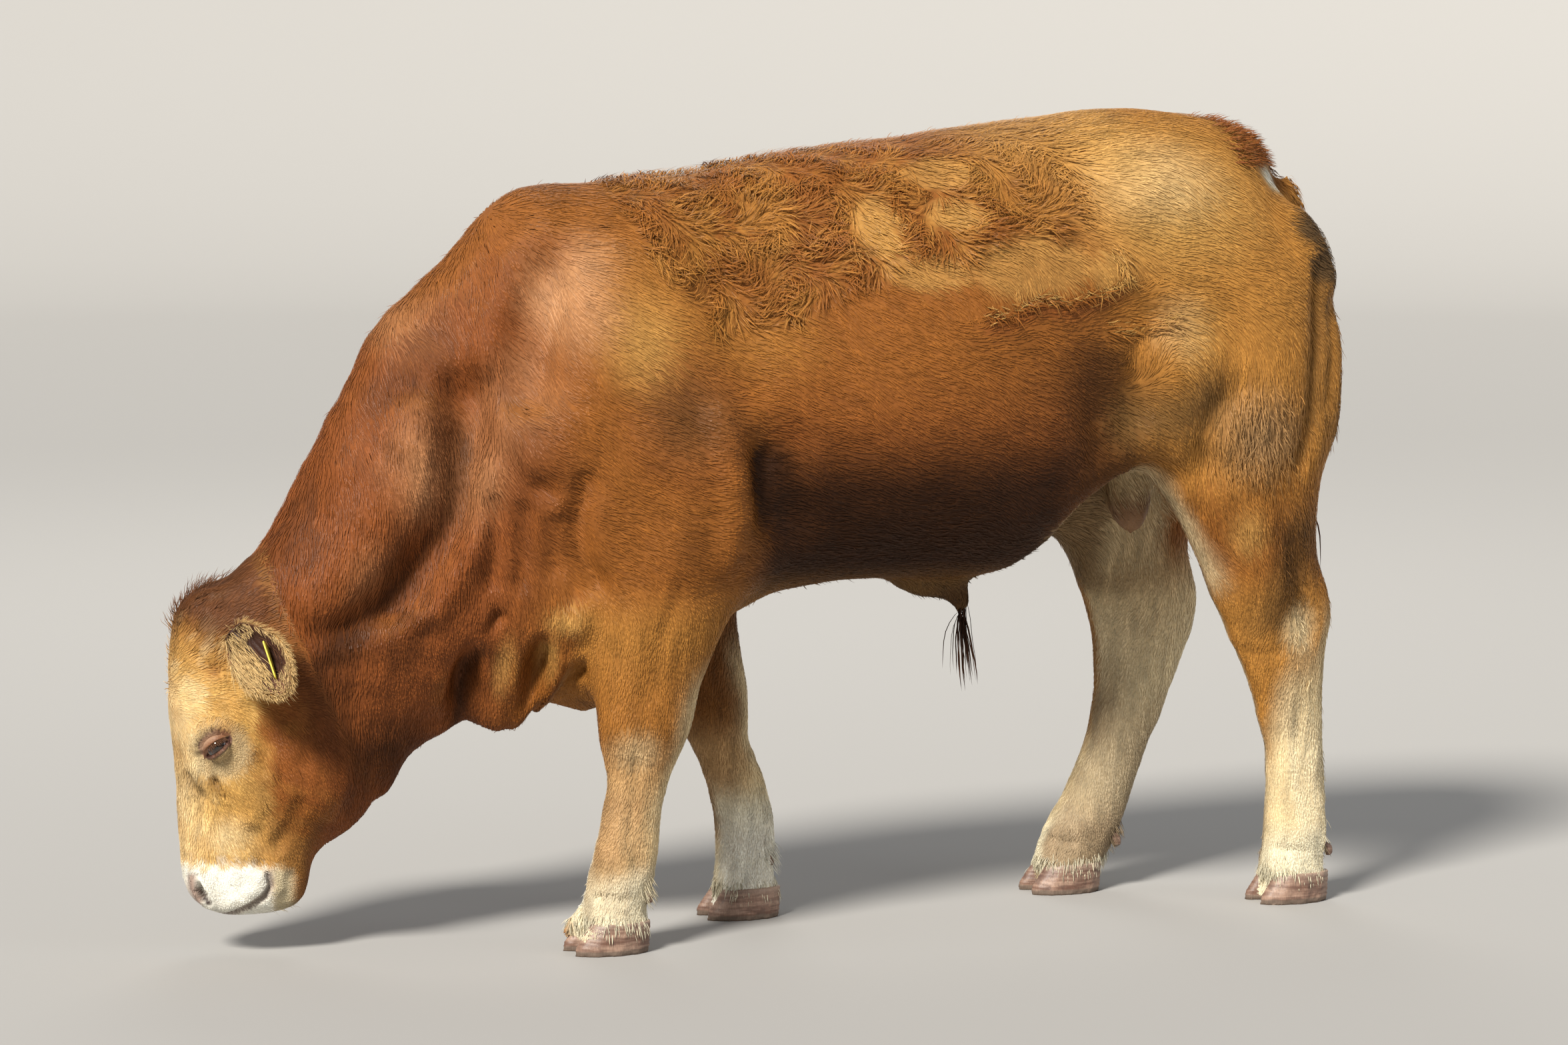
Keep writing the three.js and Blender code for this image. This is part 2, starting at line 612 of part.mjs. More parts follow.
/** [name, joints, outer side, low corner, high corner, how far the toes turn to the left]. */
const LEGS = [
  ['foreleg_left', FORELEG_LEFT, LEFT, V(-548, -300, CORONET_HEIGHT), V(-200, -72, FORELEG_TOP), 0.02],
  ['foreleg_right', FORELEG_RIGHT, RIGHT, V(-400, 72, CORONET_HEIGHT), V(-60, 300, FORELEG_TOP), -0.02],
  ['hindleg_left', HINDLEG_LEFT, LEFT, V(380, -300, CORONET_HEIGHT), V(900, -48, HINDLEG_TOP), 0.04],
  ['hindleg_right', HINDLEG_RIGHT, RIGHT, V(324, 64, CORONET_HEIGHT), V(900, 300, HINDLEG_TOP), -0.02],
];
const GAPPED = V(GAP, GAP, GAP);
const legRoom = LEGS.map(([, , , low, high]) => (
  block(low.clone().sub(GAPPED).setZ(-1), high.clone().add(GAPPED))));

const before = (solid, [point, normal]) => solid.intersect(beyond(point, normal.clone().negate()));
const after = (solid, [point, normal]) => solid.intersect(beyond(point, normal));

const withoutLegs = (solid) => largest(legRoom.reduce((rest, room) => rest.subtract(room), solid));
const trunkFlesh = (low, high) => fleshIn(low, high, TRUNK_CELL);

const parts = [];

/** Keeps a finished piece under its name. */
function keep(name, solid, material) {
  parts.push([name, solid instanceof THREE.BufferGeometry ? solid : toGeometry(solid), material()]);
  return solid;
}

// ---------------------------------------------------------------- trunk, neck and head
const chestFlesh = before(before(trunkFlesh(V(-760, -330, 330), V(-60, 330, 1330)), NECK_CUT), CHEST_CUT);
const barrelFlesh = before(after(trunkFlesh(V(-180, -330, 480), V(400, 330, 1400)), CHEST_CUT), BARREL_CUT);
const rumpFlesh = after(trunkFlesh(V(290, -330, 560), V(900, 330, 1420)), BARREL_CUT);
keep('chest', withoutLegs(chestFlesh), redCoat);
const barrel = keep('barrel', withoutLegs(barrelFlesh), redCoat);
const hindquarters = keep('hindquarters', withoutLegs(rumpFlesh), tanCoat);

const neckFlesh = before(after(fleshIn(V(-1180, -260, 150), V(-420, 300, 1300), NECK_CELL), NECK_CUT), HEAD_CUT);
keep('neck', withoutLegs(before(neckFlesh, DEWLAP_CUT)), redCoat);
keep('dewlap', withoutLegs(after(neckFlesh, DEWLAP_CUT)), redCoat);

const eye = (side, radius) => {
  const centre = onHead(EYE.forward, EYE.height, -side * EYE.left);
  return toSolid(new THREE.SphereGeometry(radius, 10, 7).translate(centre.x, centre.y, centre.z));
};
const headFlesh = after(fleshIn(V(-1240, -110, 20), V(-780, 260, 680), HEAD_CELL), HEAD_CUT);
const sockets = eye(LEFT, EYE.radius + 2 * GAP).add(eye(RIGHT, EYE.radius + 2 * GAP));
const head = keep('head', largest(headFlesh.subtract(sockets)), tanCoat);

for (const [side, label] of [[LEFT, 'left'], [RIGHT, 'right']]) {
  keep(`eye_${label}`, eye(side, EYE.radius), eyeball);
  const hollow = HEAD_FORWARD.clone().multiplyScalar(0.59).add(V(0, 0, 0.53))
    .addScaledVector(HEAD_LEFT, -side * 0.585);
  const leaf = ear(onHead(32, 523, -side * 104), onHead(-47, 450, -side * 206), hollow);
  const earSolid = keep(`ear_${label}`,
    seat(toSolid(leaf), head, HEAD_LEFT.clone().multiplyScalar(-side)), paleCoat);
  if (side === RIGHT) continue;
  const hang = HEAD_FORWARD.clone().multiplyScalar(-0.32).add(V(0, 0, -0.9)).addScaledVector(HEAD_LEFT, 0.28);
  const tag = toSolid(plate(onHead(-20, 490, 158), hang, HEAD_LEFT, TAG));
  keep('ear_tag', seat(tag, earSolid, hollow), yellowPlastic);
}

// ---------------------------------------------------------------- legs and feet
for (const [name, joints, outside, low, high, turn] of LEGS) {
  const flesh = fleshIn(low.clone().setZ(20), high, LEG_CELL);
  const leg = keep(name, largest(flesh.intersect(block(low, high))), tanCoat);
  const [[x, y], fetlock] = [joints[joints.length - 1], joints[joints.length - 3]];
  for (const side of [LEFT, RIGHT]) {
    const label = side === outside ? 'outer' : 'inner';
    keep(`${name}_claw_${label}`, claw(V(x - 10, y, 0), side, turn), horn);
    keep(`${name}_dewclaw_${label}`, seat(toSolid(dewclaw(fetlock, side)), leg, V(1, 0, 0)), horn);
  }
}

// ---------------------------------------------------------------- tail, sheath and scrotum
const TAIL = [V(762, 1, 1225), V(788, 3, 1185), V(802, 8, 1115), V(822, 14, 1030), V(838, 18, 900),
  V(842, 20, 760), V(846, 22, 660)];
const dock = toSolid(sweep(TAIL, (share) => 28 - 12 * Math.min(share * 1.6, 1), 9, 8));
const tail = keep('tail', seat(dock, hindquarters, V(0.8, 0, -0.6)), darkCoat);
const SWITCH = [V(846, 22, 668), V(849, 22, 610), V(856, 18, 555), V(878, 10, 505)];
const tassel = toSolid(sweep(SWITCH, (share) => 15 + 16 * Math.sin(Math.PI * share) - 12 * share, 5, 6));
keep('tail_switch', seat(tassel, tail, DOWN), darkCoat);

const SHEATH = [V(70, 0, 580), V(112, 0, 562), V(156, 0, 552), V(180, 0, 530), V(184, 0, 506)];
const bulge = toSolid(sweep(SHEATH, (share) => 34 - 20 * share ** 2, 6, 6));
const sheath = keep('sheath', seat(bulge, barrel, DOWN), redCoat);
const TUFT = [V(184, 0, 514), V(181, 0, 470), V(180, 0, 438), V(193, 0, 402)];
keep('sheath_tuft', seat(toSolid(sweep(TUFT, (share) => 13 - 10 * share, 5, 6)), sheath, DOWN), darkCoat);

const scrotumOutline = new THREE.CatmullRomCurve3([
  V(0, -66, 0), V(24, -60, 0), V(41, -30, 0), V(42, 0, 0), V(30, 40, 0), V(26, 90, 0), V(0, 92, 0),
]).getPoints(9).map((p) => new THREE.Vector2(Math.max(p.x, 0), p.y));
scrotumOutline[0].x = 0;
const scrotum = new THREE.LatheGeometry(scrotumOutline, 10).rotateX(Math.PI / 2).scale(1, 1.15, 1);
keep('scrotum', seat(toSolid(scrotum.translate(498, 12, 678)), hindquarters, DOWN), redCoat);

// ---------------------------------------------------------------- the whole animal
const bull = new THREE.Group();
for (const [name, geometry, material] of parts) {
  const mesh = new THREE.Mesh(geometry, material);
  mesh.name = name;
  bull.add(mesh);
}

// The origin is on the floor, below the middle of the whole animal's box.
const middle = new THREE.Box3().setFromObject(bull).getCenter(V(0, 0, 0));
bull.position.set(-middle.x, -middle.y, 0);

export default bull;
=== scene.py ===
"""A young beef bull grazing: skin, coat, eyes, ears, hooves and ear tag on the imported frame.

Metres, +Z up. The head points to -X and the animal's left side faces -Y.
"""
import math

import bmesh
import bpy
import numpy as np
from bpy.props import FloatProperty, FloatVectorProperty, IntProperty, PointerProperty
from bpy.types import Operator, Panel, PropertyGroup
from mathutils import Matrix, Vector
from mathutils.bvhtree import BVHTree


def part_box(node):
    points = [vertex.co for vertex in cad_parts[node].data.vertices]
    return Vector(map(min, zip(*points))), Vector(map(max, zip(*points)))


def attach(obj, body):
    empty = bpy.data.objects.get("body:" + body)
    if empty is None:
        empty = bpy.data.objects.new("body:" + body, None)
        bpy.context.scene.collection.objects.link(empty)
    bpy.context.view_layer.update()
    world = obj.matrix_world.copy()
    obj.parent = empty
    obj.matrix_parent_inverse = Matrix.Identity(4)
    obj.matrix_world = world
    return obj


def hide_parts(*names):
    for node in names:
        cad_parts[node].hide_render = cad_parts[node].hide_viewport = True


bl_info = {
    "name": "Grazing Young Bull",
    "version": (1, 0, 0),
    "blender": (4, 5, 0),
    "location": "View3D > Sidebar > Bull",
    "description": "Builds a life-size grazing young bull around its packed frame",
    "category": "Object",
}

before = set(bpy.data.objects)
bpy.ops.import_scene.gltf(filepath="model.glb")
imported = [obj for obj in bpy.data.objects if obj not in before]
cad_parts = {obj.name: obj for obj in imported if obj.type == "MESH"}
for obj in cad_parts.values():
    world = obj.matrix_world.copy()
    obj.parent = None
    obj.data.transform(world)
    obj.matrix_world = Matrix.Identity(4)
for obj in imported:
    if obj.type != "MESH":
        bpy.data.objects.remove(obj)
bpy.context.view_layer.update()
BODY = "root"

FLESH = ("chest", "barrel", "hindquarters", "neck", "dewlap", "head", "foreleg_left", "foreleg_right",
         "hindleg_left", "hindleg_right", "tail", "sheath", "scrotum")
LEGS = ("foreleg_left", "foreleg_right", "hindleg_left", "hindleg_right")
PLACES = ("outer", "inner")  # of the claws and dewclaws of a foot
CLAWS = tuple(f"{leg}_claw_{place}" for leg in LEGS for place in PLACES)
CORONET = 0.052              # height where hair ends and horn begins
CLAW_TOP = 0.06              # height between the claws and the dewclaws
MIDRIFF = 0.25               # x that parts the forelegs from the hind legs
HEAD_FROM = 0.5              # share of the head from which a place counts as head
SIDES = (("left", -1.0), ("right", 1.0))
COAT_SEED, LONG_SEED, LASH_SEED, EAR_SEED = 7, 19, 23, 29
UP = np.array((0.0, 0.0, 1.0))


# -------- small maths
def unit(v):
    """Vectors brought to a length of 1."""
    return v / np.maximum(np.linalg.norm(v, axis=-1, keepdims=True), 1e-12)


def ease(low, high, value):
    """0 up to low, 1 from high on, and an easy slope between them."""
    t = np.clip((value - low) / (high - low), 0.0, 1.0)
    return t * t * (3.0 - 2.0 * t)


def product(*shares):
    """The product of shares, in which one written (low, high, value) is a slope."""
    total = 1.0
    for share in shares:
        total = total * (ease(*share) if isinstance(share, tuple) else share)
    return total


def bell(distance, reach):
    """1 at no distance, falling softly to 0 at reach."""
    return (1.0 - np.clip(distance / reach, 0.0, 1.0) ** 2) ** 2


def oval(points, centre, radii):
    """How far places lie from a centre, counted in the radii of each axis."""
    return np.linalg.norm((points - np.array(centre)) / np.array(radii), axis=1)


def mound(points, centre, radii):
    """A bell over a round or egg-shaped region."""
    return bell(oval(points, centre, radii), 1.0)


def reach_of(flat, path):
    """The distance of flat points from a path, and how far along it they lie, 0 to 1."""
    path = np.array(path, float)
    lengths = np.linalg.norm(np.diff(path, axis=0), axis=1)
    before = np.concatenate(([0.0], np.cumsum(lengths)))
    best = np.full(len(flat), np.inf)
    share = np.zeros(len(flat))
    for i, length in enumerate(lengths):
        step = (path[i + 1] - path[i]) / length
        t = np.clip((flat - path[i]) @ step, 0.0, length)
        away = np.linalg.norm(flat - path[i] - t[:, None] * step, axis=1)
        nearer = away < best
        best[nearer] = away[nearer]
        share[nearer] = ((before[i] + t) / before[-1])[nearer]
    return best, share


def beside(flat, path, reach):
    """1 on a path, falling softly to 0 at reach to its sides."""
    return bell(reach_of(flat, path)[0], reach)


RIPPLE_WAVES = 9             # waves summed in each ripple


def ripple(points, size, seed):
    """Smooth random values of about -1 to 1, which change over lengths of about size."""
    rng = np.random.default_rng(seed)
    total = np.zeros(len(points))
    for _ in range(RIPPLE_WAVES):
        wave = unit(rng.normal(size=3)) * math.tau / (size * rng.uniform(1.2, 3.4))
        total += np.sin(points @ wave + rng.uniform(0.0, math.tau))
    return total / math.sqrt(RIPPLE_WAVES)


def blend(a, b, share):
    """Between a and b, with a share for each row."""
    return a + (np.array(b) - a) * np.asarray(share)[:, None]


# -------- where things are
def middle(node):
    low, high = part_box(node)
    return np.array((low + high) / 2)


EYE_FORWARD, EYE_HEIGHT = 0.069, 0.346    # of the eyes' centres, in the head's own frame
HEAD_LEFT = unit(middle("eye_left") - middle("eye_right"))
HEAD_FORWARD = np.cross(HEAD_LEFT, UP)
HEAD_FOOT = (middle("eye_left") + middle("eye_right")) / 2 - EYE_FORWARD * HEAD_FORWARD
HEAD_FOOT = HEAD_FOOT - EYE_HEIGHT * UP
HEAD_AXES = np.stack([HEAD_FORWARD, UP, HEAD_LEFT])
EYE_RADIUS = float((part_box("eye_left")[1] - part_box("eye_left")[0])[1]) / 2


def in_head(points):
    """Places in the head's frame, as columns ahead, above the floor and to the left."""
    return (points - HEAD_FOOT) @ HEAD_AXES.T


def head_share(points):
    """1 on the head, 0 on the neck."""
    head = in_head(points)
    behind = 0.904 * head[:, 0] - 0.428 * (head[:, 1] - 0.635)
    return ease(-0.012, 0.03, behind) * ease(-0.62, -0.68, points[:, 0])


def foot_middle(leg):
    return (middle(f"{leg}_claw_outer") + middle(f"{leg}_claw_inner")) / 2


LID_TILT = math.radians(36)  # slope of the line from corner to corner of an eye


def eye_axes(side):
    """Centre and axes of the eye on a side, which is -1 on the left.

    The axes run out of the head, from the inner to the outer corner, and up across the lids.
    """
    left = HEAD_LEFT * -side
    centre = middle("eye_left" if side < 0 else "eye_right")
    look = unit(left * 0.95 + HEAD_FORWARD * 0.25 + UP * 0.02)
    along = -math.cos(LID_TILT) * HEAD_FORWARD + math.sin(LID_TILT) * UP
    along = unit(along - (along @ look) * look)
    across = unit(np.cross(look, along))
    return centre, look, along, across * np.sign(across @ UP)


def in_eye(points, side):
    """Places by an eye's own axes: along and across its lids, and out of the head."""
    centre, look, along, across = eye_axes(side)
    away = points - centre
    return away @ along, away @ across, away @ look


# -------- the form under the coat
# Hollows and ridges of the trunk and neck, as seen from the side: name, height, half width, path of
# (x, z) places. A negative height is a hollow. Both sides have them.
TRUNK_STROKES = (
    ("hollow before the shoulder blade", -0.013, 0.05,
     ((-0.455, 1.09), (-0.477, 1.02), (-0.488, 0.96), (-0.5, 0.9))),
    ("front edge of the shoulder blade", 0.008, 0.034,
     ((-0.44, 1.165), (-0.5, 1.1), (-0.535, 1.03), (-0.55, 0.96))),
    ("shoulder blade", 0.009, 0.085, ((-0.36, 1.13), (-0.38, 1.0), (-0.41, 0.88))),
    ("groove before the shoulder", -0.029, 0.058,
     ((-0.582, 0.905), (-0.592, 0.81), (-0.6, 0.722), (-0.63, 0.668), (-0.664, 0.61), (-0.709, 0.56),
      (-0.757, 0.517), (-0.8, 0.492))),
    ("neck over the groove", 0.014, 0.065,
     ((-0.645, 0.86), (-0.68, 0.75), (-0.745, 0.655), (-0.805, 0.58))),
    ("throat under the groove", 0.009, 0.036,
     ((-0.555, 0.78), (-0.575, 0.66), (-0.625, 0.565), (-0.7, 0.48))),
    ("groove under the throat", -0.015, 0.018,
     ((-0.53, 0.545), (-0.552, 0.475), (-0.595, 0.411), (-0.648, 0.366))),
    ("behind the shoulder blade", -0.01, 0.07, ((-0.2, 1.1), (-0.175, 1.02), (-0.15, 0.92))),
    ("upper arm", 0.012, 0.09, ((-0.32, 0.82), (-0.25, 0.73), (-0.235, 0.66))),
    ("back of the upper arm", 0.016, 0.045,
     ((-0.205, 0.86), (-0.18, 0.79), (-0.176, 0.72), (-0.195, 0.64))),
    ("hollow behind the elbow", -0.026, 0.085, ((-0.108, 0.8), (-0.096, 0.75), (-0.075, 0.7))),
    ("edge behind the elbow", -0.016, 0.032, ((-0.13, 0.8), (-0.124, 0.74), (-0.118, 0.69))),
    ("notch of the dewlap", -0.015, 0.012, ((-0.561, 0.35), (-0.56, 0.42), (-0.552, 0.48))),
    ("second lobe of the dewlap", 0.019, 0.018, ((-0.527, 0.37), (-0.52, 0.42), (-0.505, 0.47))),
    ("crease before the upper arm", -0.015, 0.03,
     ((-0.418, 0.765), (-0.43, 0.7), (-0.425, 0.645), (-0.398, 0.6))),
    ("dimple at the point of the shoulder", -0.01, 0.022, ((-0.482, 0.757), (-0.47, 0.75))),
    ("point of the shoulder", 0.01, 0.05, ((-0.515, 0.86), (-0.49, 0.81))),
    ("fold of the shoulder, first", -0.007, 0.02, ((-0.463, 0.7), (-0.455, 0.62))),
    ("fold of the shoulder, second", -0.009, 0.022, ((-0.505, 0.72), (-0.5, 0.6))),
    ("fold of the shoulder, third", -0.01, 0.022, ((-0.547, 0.735), (-0.545, 0.6))),
    ("top of the belly", -0.006, 0.06, ((0.02, 0.8), (0.02, 0.7))),
    ("ribs", 0.006, 0.16, ((0.06, 0.9), (0.2, 0.93))),
    ("edge of the ribs", -0.007, 0.11, ((0.36, 1.0), (0.37, 0.9), (0.33, 0.79))),
    ("hollow of the flank", -0.021, 0.11, ((0.478, 0.985), (0.492, 0.92), (0.48, 0.86))),
    ("before the thigh", -0.008, 0.04, ((0.545, 0.995), (0.536, 0.92), (0.54, 0.86))),
    ("hollow before the hip", -0.007, 0.095, ((0.35, 1.17), (0.42, 1.12))),
    ("point of the hip", 0.008, 0.075, ((0.48, 1.25), (0.525, 1.205))),
    ("fold of the flank", 0.011, 0.017, ((0.478, 0.825), (0.505, 0.79), (0.535, 0.755))),
    ("web of the flank", 0.008, 0.045, ((0.4, 0.7), (0.47, 0.745), (0.56, 0.8))),
    ("stifle", 0.014, 0.095, ((0.61, 0.92), (0.605, 0.82))),
    ("under the stifle", -0.01, 0.05, ((0.56, 0.735), (0.61, 0.74), (0.655, 0.76))),
    ("behind the stifle", -0.004, 0.06, ((0.69, 1.0), (0.695, 0.92), (0.66, 0.84))),
    ("thigh", 0.01, 0.11, ((0.79, 1.03), (0.785, 0.88))),
    ("edge of the rough thigh", -0.011, 0.034,
     ((0.715, 0.885), (0.668, 0.85), (0.65, 0.79), (0.685, 0.735))),
    ("calf", 0.008, 0.045, ((0.755, 0.74), (0.77, 0.66))),
    ("groove down the thigh, first", -0.015, 0.028,
     ((0.88, 1.075), (0.872, 0.95), (0.856, 0.84), (0.835, 0.76))),
    ("groove down the thigh, second", -0.008, 0.02, ((0.912, 1.02), (0.908, 0.93), (0.895, 0.85))),
    ("hollow beside the tail", -0.012, 0.046, ((0.83, 1.245), (0.86, 1.2))),
    ("pin bone", 0.022, 0.075, ((0.872, 1.15), (0.89, 1.11), (0.905, 1.07))),
    ("loin muscle", 0.005, 0.05, ((0, 1.24), (0.2, 1.255), (0.4, 1.27))),
)
# The same for legs, from the foot's own middle: name, leg, height, half width, path of (x, z) places.
LEG_STROKES = (
    ("tendon groove", "foreleg", -0.0055, 0.013, ((0.03, 0.31), (0.026, 0.2), (0.034, 0.135))),
    ("knee", "foreleg", 0.004, 0.03, ((0, 0.375), (0.002, 0.34))),
    ("below the knee", "foreleg", -0.004, 0.024, ((-0.02, 0.3), (0.028, 0.3))),
    ("muscle of the forearm", "foreleg", -0.006, 0.02, ((0.09, 0.6), (0.055, 0.5), (0.045, 0.42))),
    ("crease of the pastern", "foreleg", -0.006, 0.01, ((-0.06, 0.085), (-0.02, 0.094), (0.012, 0.088))),
    ("fetlock", "foreleg", 0.003, 0.026, ((0.015, 0.125), (0.02, 0.11))),
    ("tendon groove", "hindleg", -0.006, 0.014, ((-0.012, 0.33), (-0.005, 0.22), (0.018, 0.135))),
    ("hollow of the hock", "hindleg", -0.013, 0.024, ((-0.06, 0.64), (-0.025, 0.55), (0, 0.465))),
    ("point of the hock", "hindleg", 0.004, 0.03, ((0.03, 0.5), (0.032, 0.475))),
    ("crease before the hock", "hindleg", -0.005, 0.012, ((-0.12, 0.44), (-0.085, 0.428), (-0.05, 0.44))),
    ("crease of the pastern", "hindleg", -0.006, 0.01, ((-0.07, 0.085), (-0.03, 0.094), (0.004, 0.088))),
    ("fetlock", "hindleg", 0.003, 0.026, ((0.005, 0.125), (0.01, 0.11))),
)
# The hanging lobes of the dewlap and the recesses between them: height, half widths, middle (x, z).
DEWLAP_LOBES = (
    ("front lobe", 0.012, (0.026, 0.06), (-0.508, 0.395)),
    ("recess behind the front lobe", -0.046, (0.03, 0.075), (-0.462, 0.455)),
    ("rear lobe", 0.008, (0.016, 0.055), (-0.432, 0.435)),
    ("recess before the leg", -0.034, (0.026, 0.045), (-0.398, 0.44)),
    ("recess before the front lobe", -0.038, (0.034, 0.08), (-0.565, 0.44)),
    ("brisket", 0.016, (0.045, 0.05), (-0.41, 0.54)),
)
# How far the left flank's lower edge rises: (x, height).
FLANK_ARCH = ((0.36, 0), (0.42, 0.02), (0.48, 0.07), (0.535, 0.115), (0.585, 0.112), (0.63, 0.06),
              (0.69, 0))
LIP_EDGE = ((-0.006, 0.134), (-0.01, 0.116), (0.002, 0.097), (0.026, 0.082), (0.052, 0.069), (0.07, 0.063))
# The head from its side: name, height, half width, path of (ahead, height above the floor) places.
HEAD_STROKES = (
    ("tear groove", -0.005, 0.011, ((0.098, 0.328), (0.09, 0.306), (0.078, 0.286))),
    ("tear pit", -0.0075, 0.009, ((0.076, 0.284), (0.072, 0.276))),
    ("under the brow bulge", -0.006, 0.013, ((0.122, 0.292), (0.112, 0.272), (0.098, 0.262))),
    ("before the brow bulge", -0.004, 0.012, ((0.133, 0.325), (0.128, 0.3), (0.118, 0.28))),
    ("groove of the nose", -0.005, 0.02, ((0.112, 0.25), (0.11, 0.215), (0.108, 0.175))),
    ("crest of the cheek", 0.0045, 0.02, ((0.05, 0.28), (0.03, 0.25), (0.018, 0.215))),
    ("corner of the cheek", -0.007, 0.022, ((0.018, 0.205), (0.006, 0.172), (0, 0.155))),
    ("edge of the jaw muscle", -0.006, 0.022, ((-0.02, 0.18), (-0.045, 0.215), (-0.06, 0.25))),
    ("jaw muscle", 0.006, 0.06, ((-0.05, 0.33), (-0.085, 0.27))),
    ("behind the eye", -0.004, 0.024, ((0.02, 0.375), (0, 0.345), (-0.004, 0.31))),
    ("before the ear", -0.009, 0.02, ((0.062, 0.5), (0.05, 0.47), (0.03, 0.448))),
    ("dark fold over the brow", -0.007, 0.014, ((0.104, 0.492), (0.092, 0.474), (0.072, 0.464))),
    ("crown of the poll", 0.007, 0.04, ((0.12, 0.56), (0.085, 0.59))),
    ("edge of the upper lip", -0.01, 0.0085, LIP_EDGE),
    ("roll of the upper lip", 0.005, 0.02,
     ((0.012, 0.128), (0.012, 0.112), (0.034, 0.094), (0.062, 0.082))),
    ("rear of the chin", -0.004, 0.014, ((-0.04, 0.128), (-0.036, 0.104), (-0.026, 0.084))),
    ("crease of the muzzle", -0.0022, 0.005, ((0.052, 0.116), (0.044, 0.104), (0.036, 0.098))),
    ("above the muzzle", -0.0035, 0.014, ((0.128, 0.158), (0.08, 0.153), (0.03, 0.15), (0, 0.146))),
)
NOSTRIL = ((0.1075, 0.128), (0.1065, 0.117), (0.1035, 0.106), (0.0975, 0.096), (0.0905, 0.088))
# Wrinkles of the cheek below the eye: each starts ahead and runs back.
WRINKLES = (
    ((0.108, 0.262), (0.08, 0.25), (0.05, 0.246), (0.02, 0.24), (-0.008, 0.232)),
    ((0.104, 0.25), (0.076, 0.24), (0.048, 0.236), (0.022, 0.23), (0, 0.22)),
    ((0.094, 0.238), (0.07, 0.23), (0.046, 0.226), (0.024, 0.218)),
    ((0.092, 0.274), (0.066, 0.262), (0.044, 0.258), (0.024, 0.252)),
)

# How far the dewlap's lower edge hangs below its solid, along x: two lobes with a gap between.
DEWLAP_EDGE = (
    (-0.56, 0), (-0.543, -0.003), (-0.522, -0.024), (-0.495, -0.031), (-0.469, -0.029), (-0.458, -0.018),
    (-0.444, 0.006), (-0.43, 0.004), (-0.414, 0.022), (-0.399, 0.02), (-0.377, 0.012), (-0.35, 0))


def side_strokes(flat, strokes):
    """The summed heights of a table of hollows and ridges at flat places."""
    total = np.zeros(len(flat))
    for _, height, width, path in strokes:
        total += height * beside(flat, path, width)
    return total


def neck_folds(points):
    """The loose folds that run down the sides of the neck, from -1 in a valley to 1 on a fold."""
    return np.clip(ripple(points * (1.0, 1.0, 0.35), 0.055, 11), -1, 1)


def trunk_form(points, normals):
    """How far the muscles, folds and hollows of trunk, neck and dewlap push the skin out."""
    flat = points[:, (0, 2)]
    facing = ease(0.15, 0.6, np.abs(normals[:, 1])) * ease(0.5, 0.56, points[:, 2])
    total = side_strokes(flat, TRUNK_STROKES) * facing * (1 + 0.35 * ease(-0.3, -0.45, points[:, 0]))
    lobes = sum(height * mound(flat, centre, radii) for _, height, radii, centre in DEWLAP_LOBES)
    not_leg = ease(-0.385, -0.405, points[:, 0])
    total += lobes * not_leg * ease(0.05, 0.4, np.abs(normals[:, 1])) * (points[:, 2] > 0.2)
    crest_line = ease(-0.84, -0.7, points[:, 0]) * ease(-0.34, -0.46, points[:, 0])
    total += 0.011 * crest_line * ease(0.15, 0.7, normals[:, 2])
    neck = ease(-0.42, -0.6, points[:, 0]) * (1 - head_share(points))
    total += neck * (0.0042 * neck_folds(points) + 0.0014 * ripple(points, 0.03, 12))
    return total + 0.0016 * ripple(points, 0.085, 13) * (1 - head_share(points))


def leg_form(points, normals, leg):
    """The tendons, joints and creases of one leg."""
    foot = foot_middle(leg)
    flat = points[:, (0, 2)] - (foot[0], 0)
    strokes = [row[:1] + row[2:] for row in LEG_STROKES if leg.startswith(row[1])]
    facing = ease(0.2, 0.6, np.abs(normals[:, 1]))
    near = ease(0.66, 0.6, points[:, 2]) * ease(0.17, 0.14, np.abs(points[:, 1] - foot[1]))
    return side_strokes(flat, strokes) * facing * near


def head_form(points, normals):
    """The bones, folds, wrinkles, lips and nostrils of the head."""
    head = in_head(points)
    flat = head[:, :2]
    facing = ease(0.1, 0.45, np.abs(normals @ HEAD_LEFT))
    total = side_strokes(flat, HEAD_STROKES) * facing
    shaken = flat + 0.0016 * np.stack([ripple(points, 0.02, 21), ripple(points, 0.014, 22)], 1)
    for path in WRINKLES:
        away, along = reach_of(shaken, path)
        total -= 0.0024 * bell(away, 0.0048) * facing * np.sin(math.pi * np.clip(along, 0.02, 0.98))
    away, along = reach_of(flat, NOSTRIL)
    opening = 0.003 + 0.006 * np.sin(math.pi * np.clip(along, 0, 1) ** 1.6)
    side = ease(0.016, 0.026, np.abs(head[:, 2]))
    total -= 0.02 * ease(1.25, 0.55, away / opening) * ease(0.05, 0.45, along) * side
    total += 0.0022 * bell(np.abs(away - 0.0105), 0.006) * side
    total -= 0.0022 * mound(head, (0.128, 0.118, 0), (0.02, 0.045, 0.01))
    total += 0.0009 * ripple(points, 0.018, 23) * ease(0.15, 0.2, head[:, 1])
    return total * head_share(points)


# -------- eyes and lids
LID_LENGTH = 0.0275          # half the opening, corner to corner
LID_SHELL = 0.0022           # how far the lids stand off the eyeball


def lid_curves(along):
    """Heights of the upper and lower lid's edge and of the crease over the upper lid."""
    bow = np.sqrt(np.clip(1 - (along / LID_LENGTH) ** 2, 0, 1))
    wide_bow = np.sqrt(np.clip(1 - (along / (LID_LENGTH + 0.004)) ** 2, 0, 1))
    upper = 0.0036 * bow ** 1.3 + 0.001
    lower = -0.007 * bow ** 1.2 + 0.001
    crease = 0.0215 * wide_bow ** 0.9 + 0.0025
    return upper, lower, crease


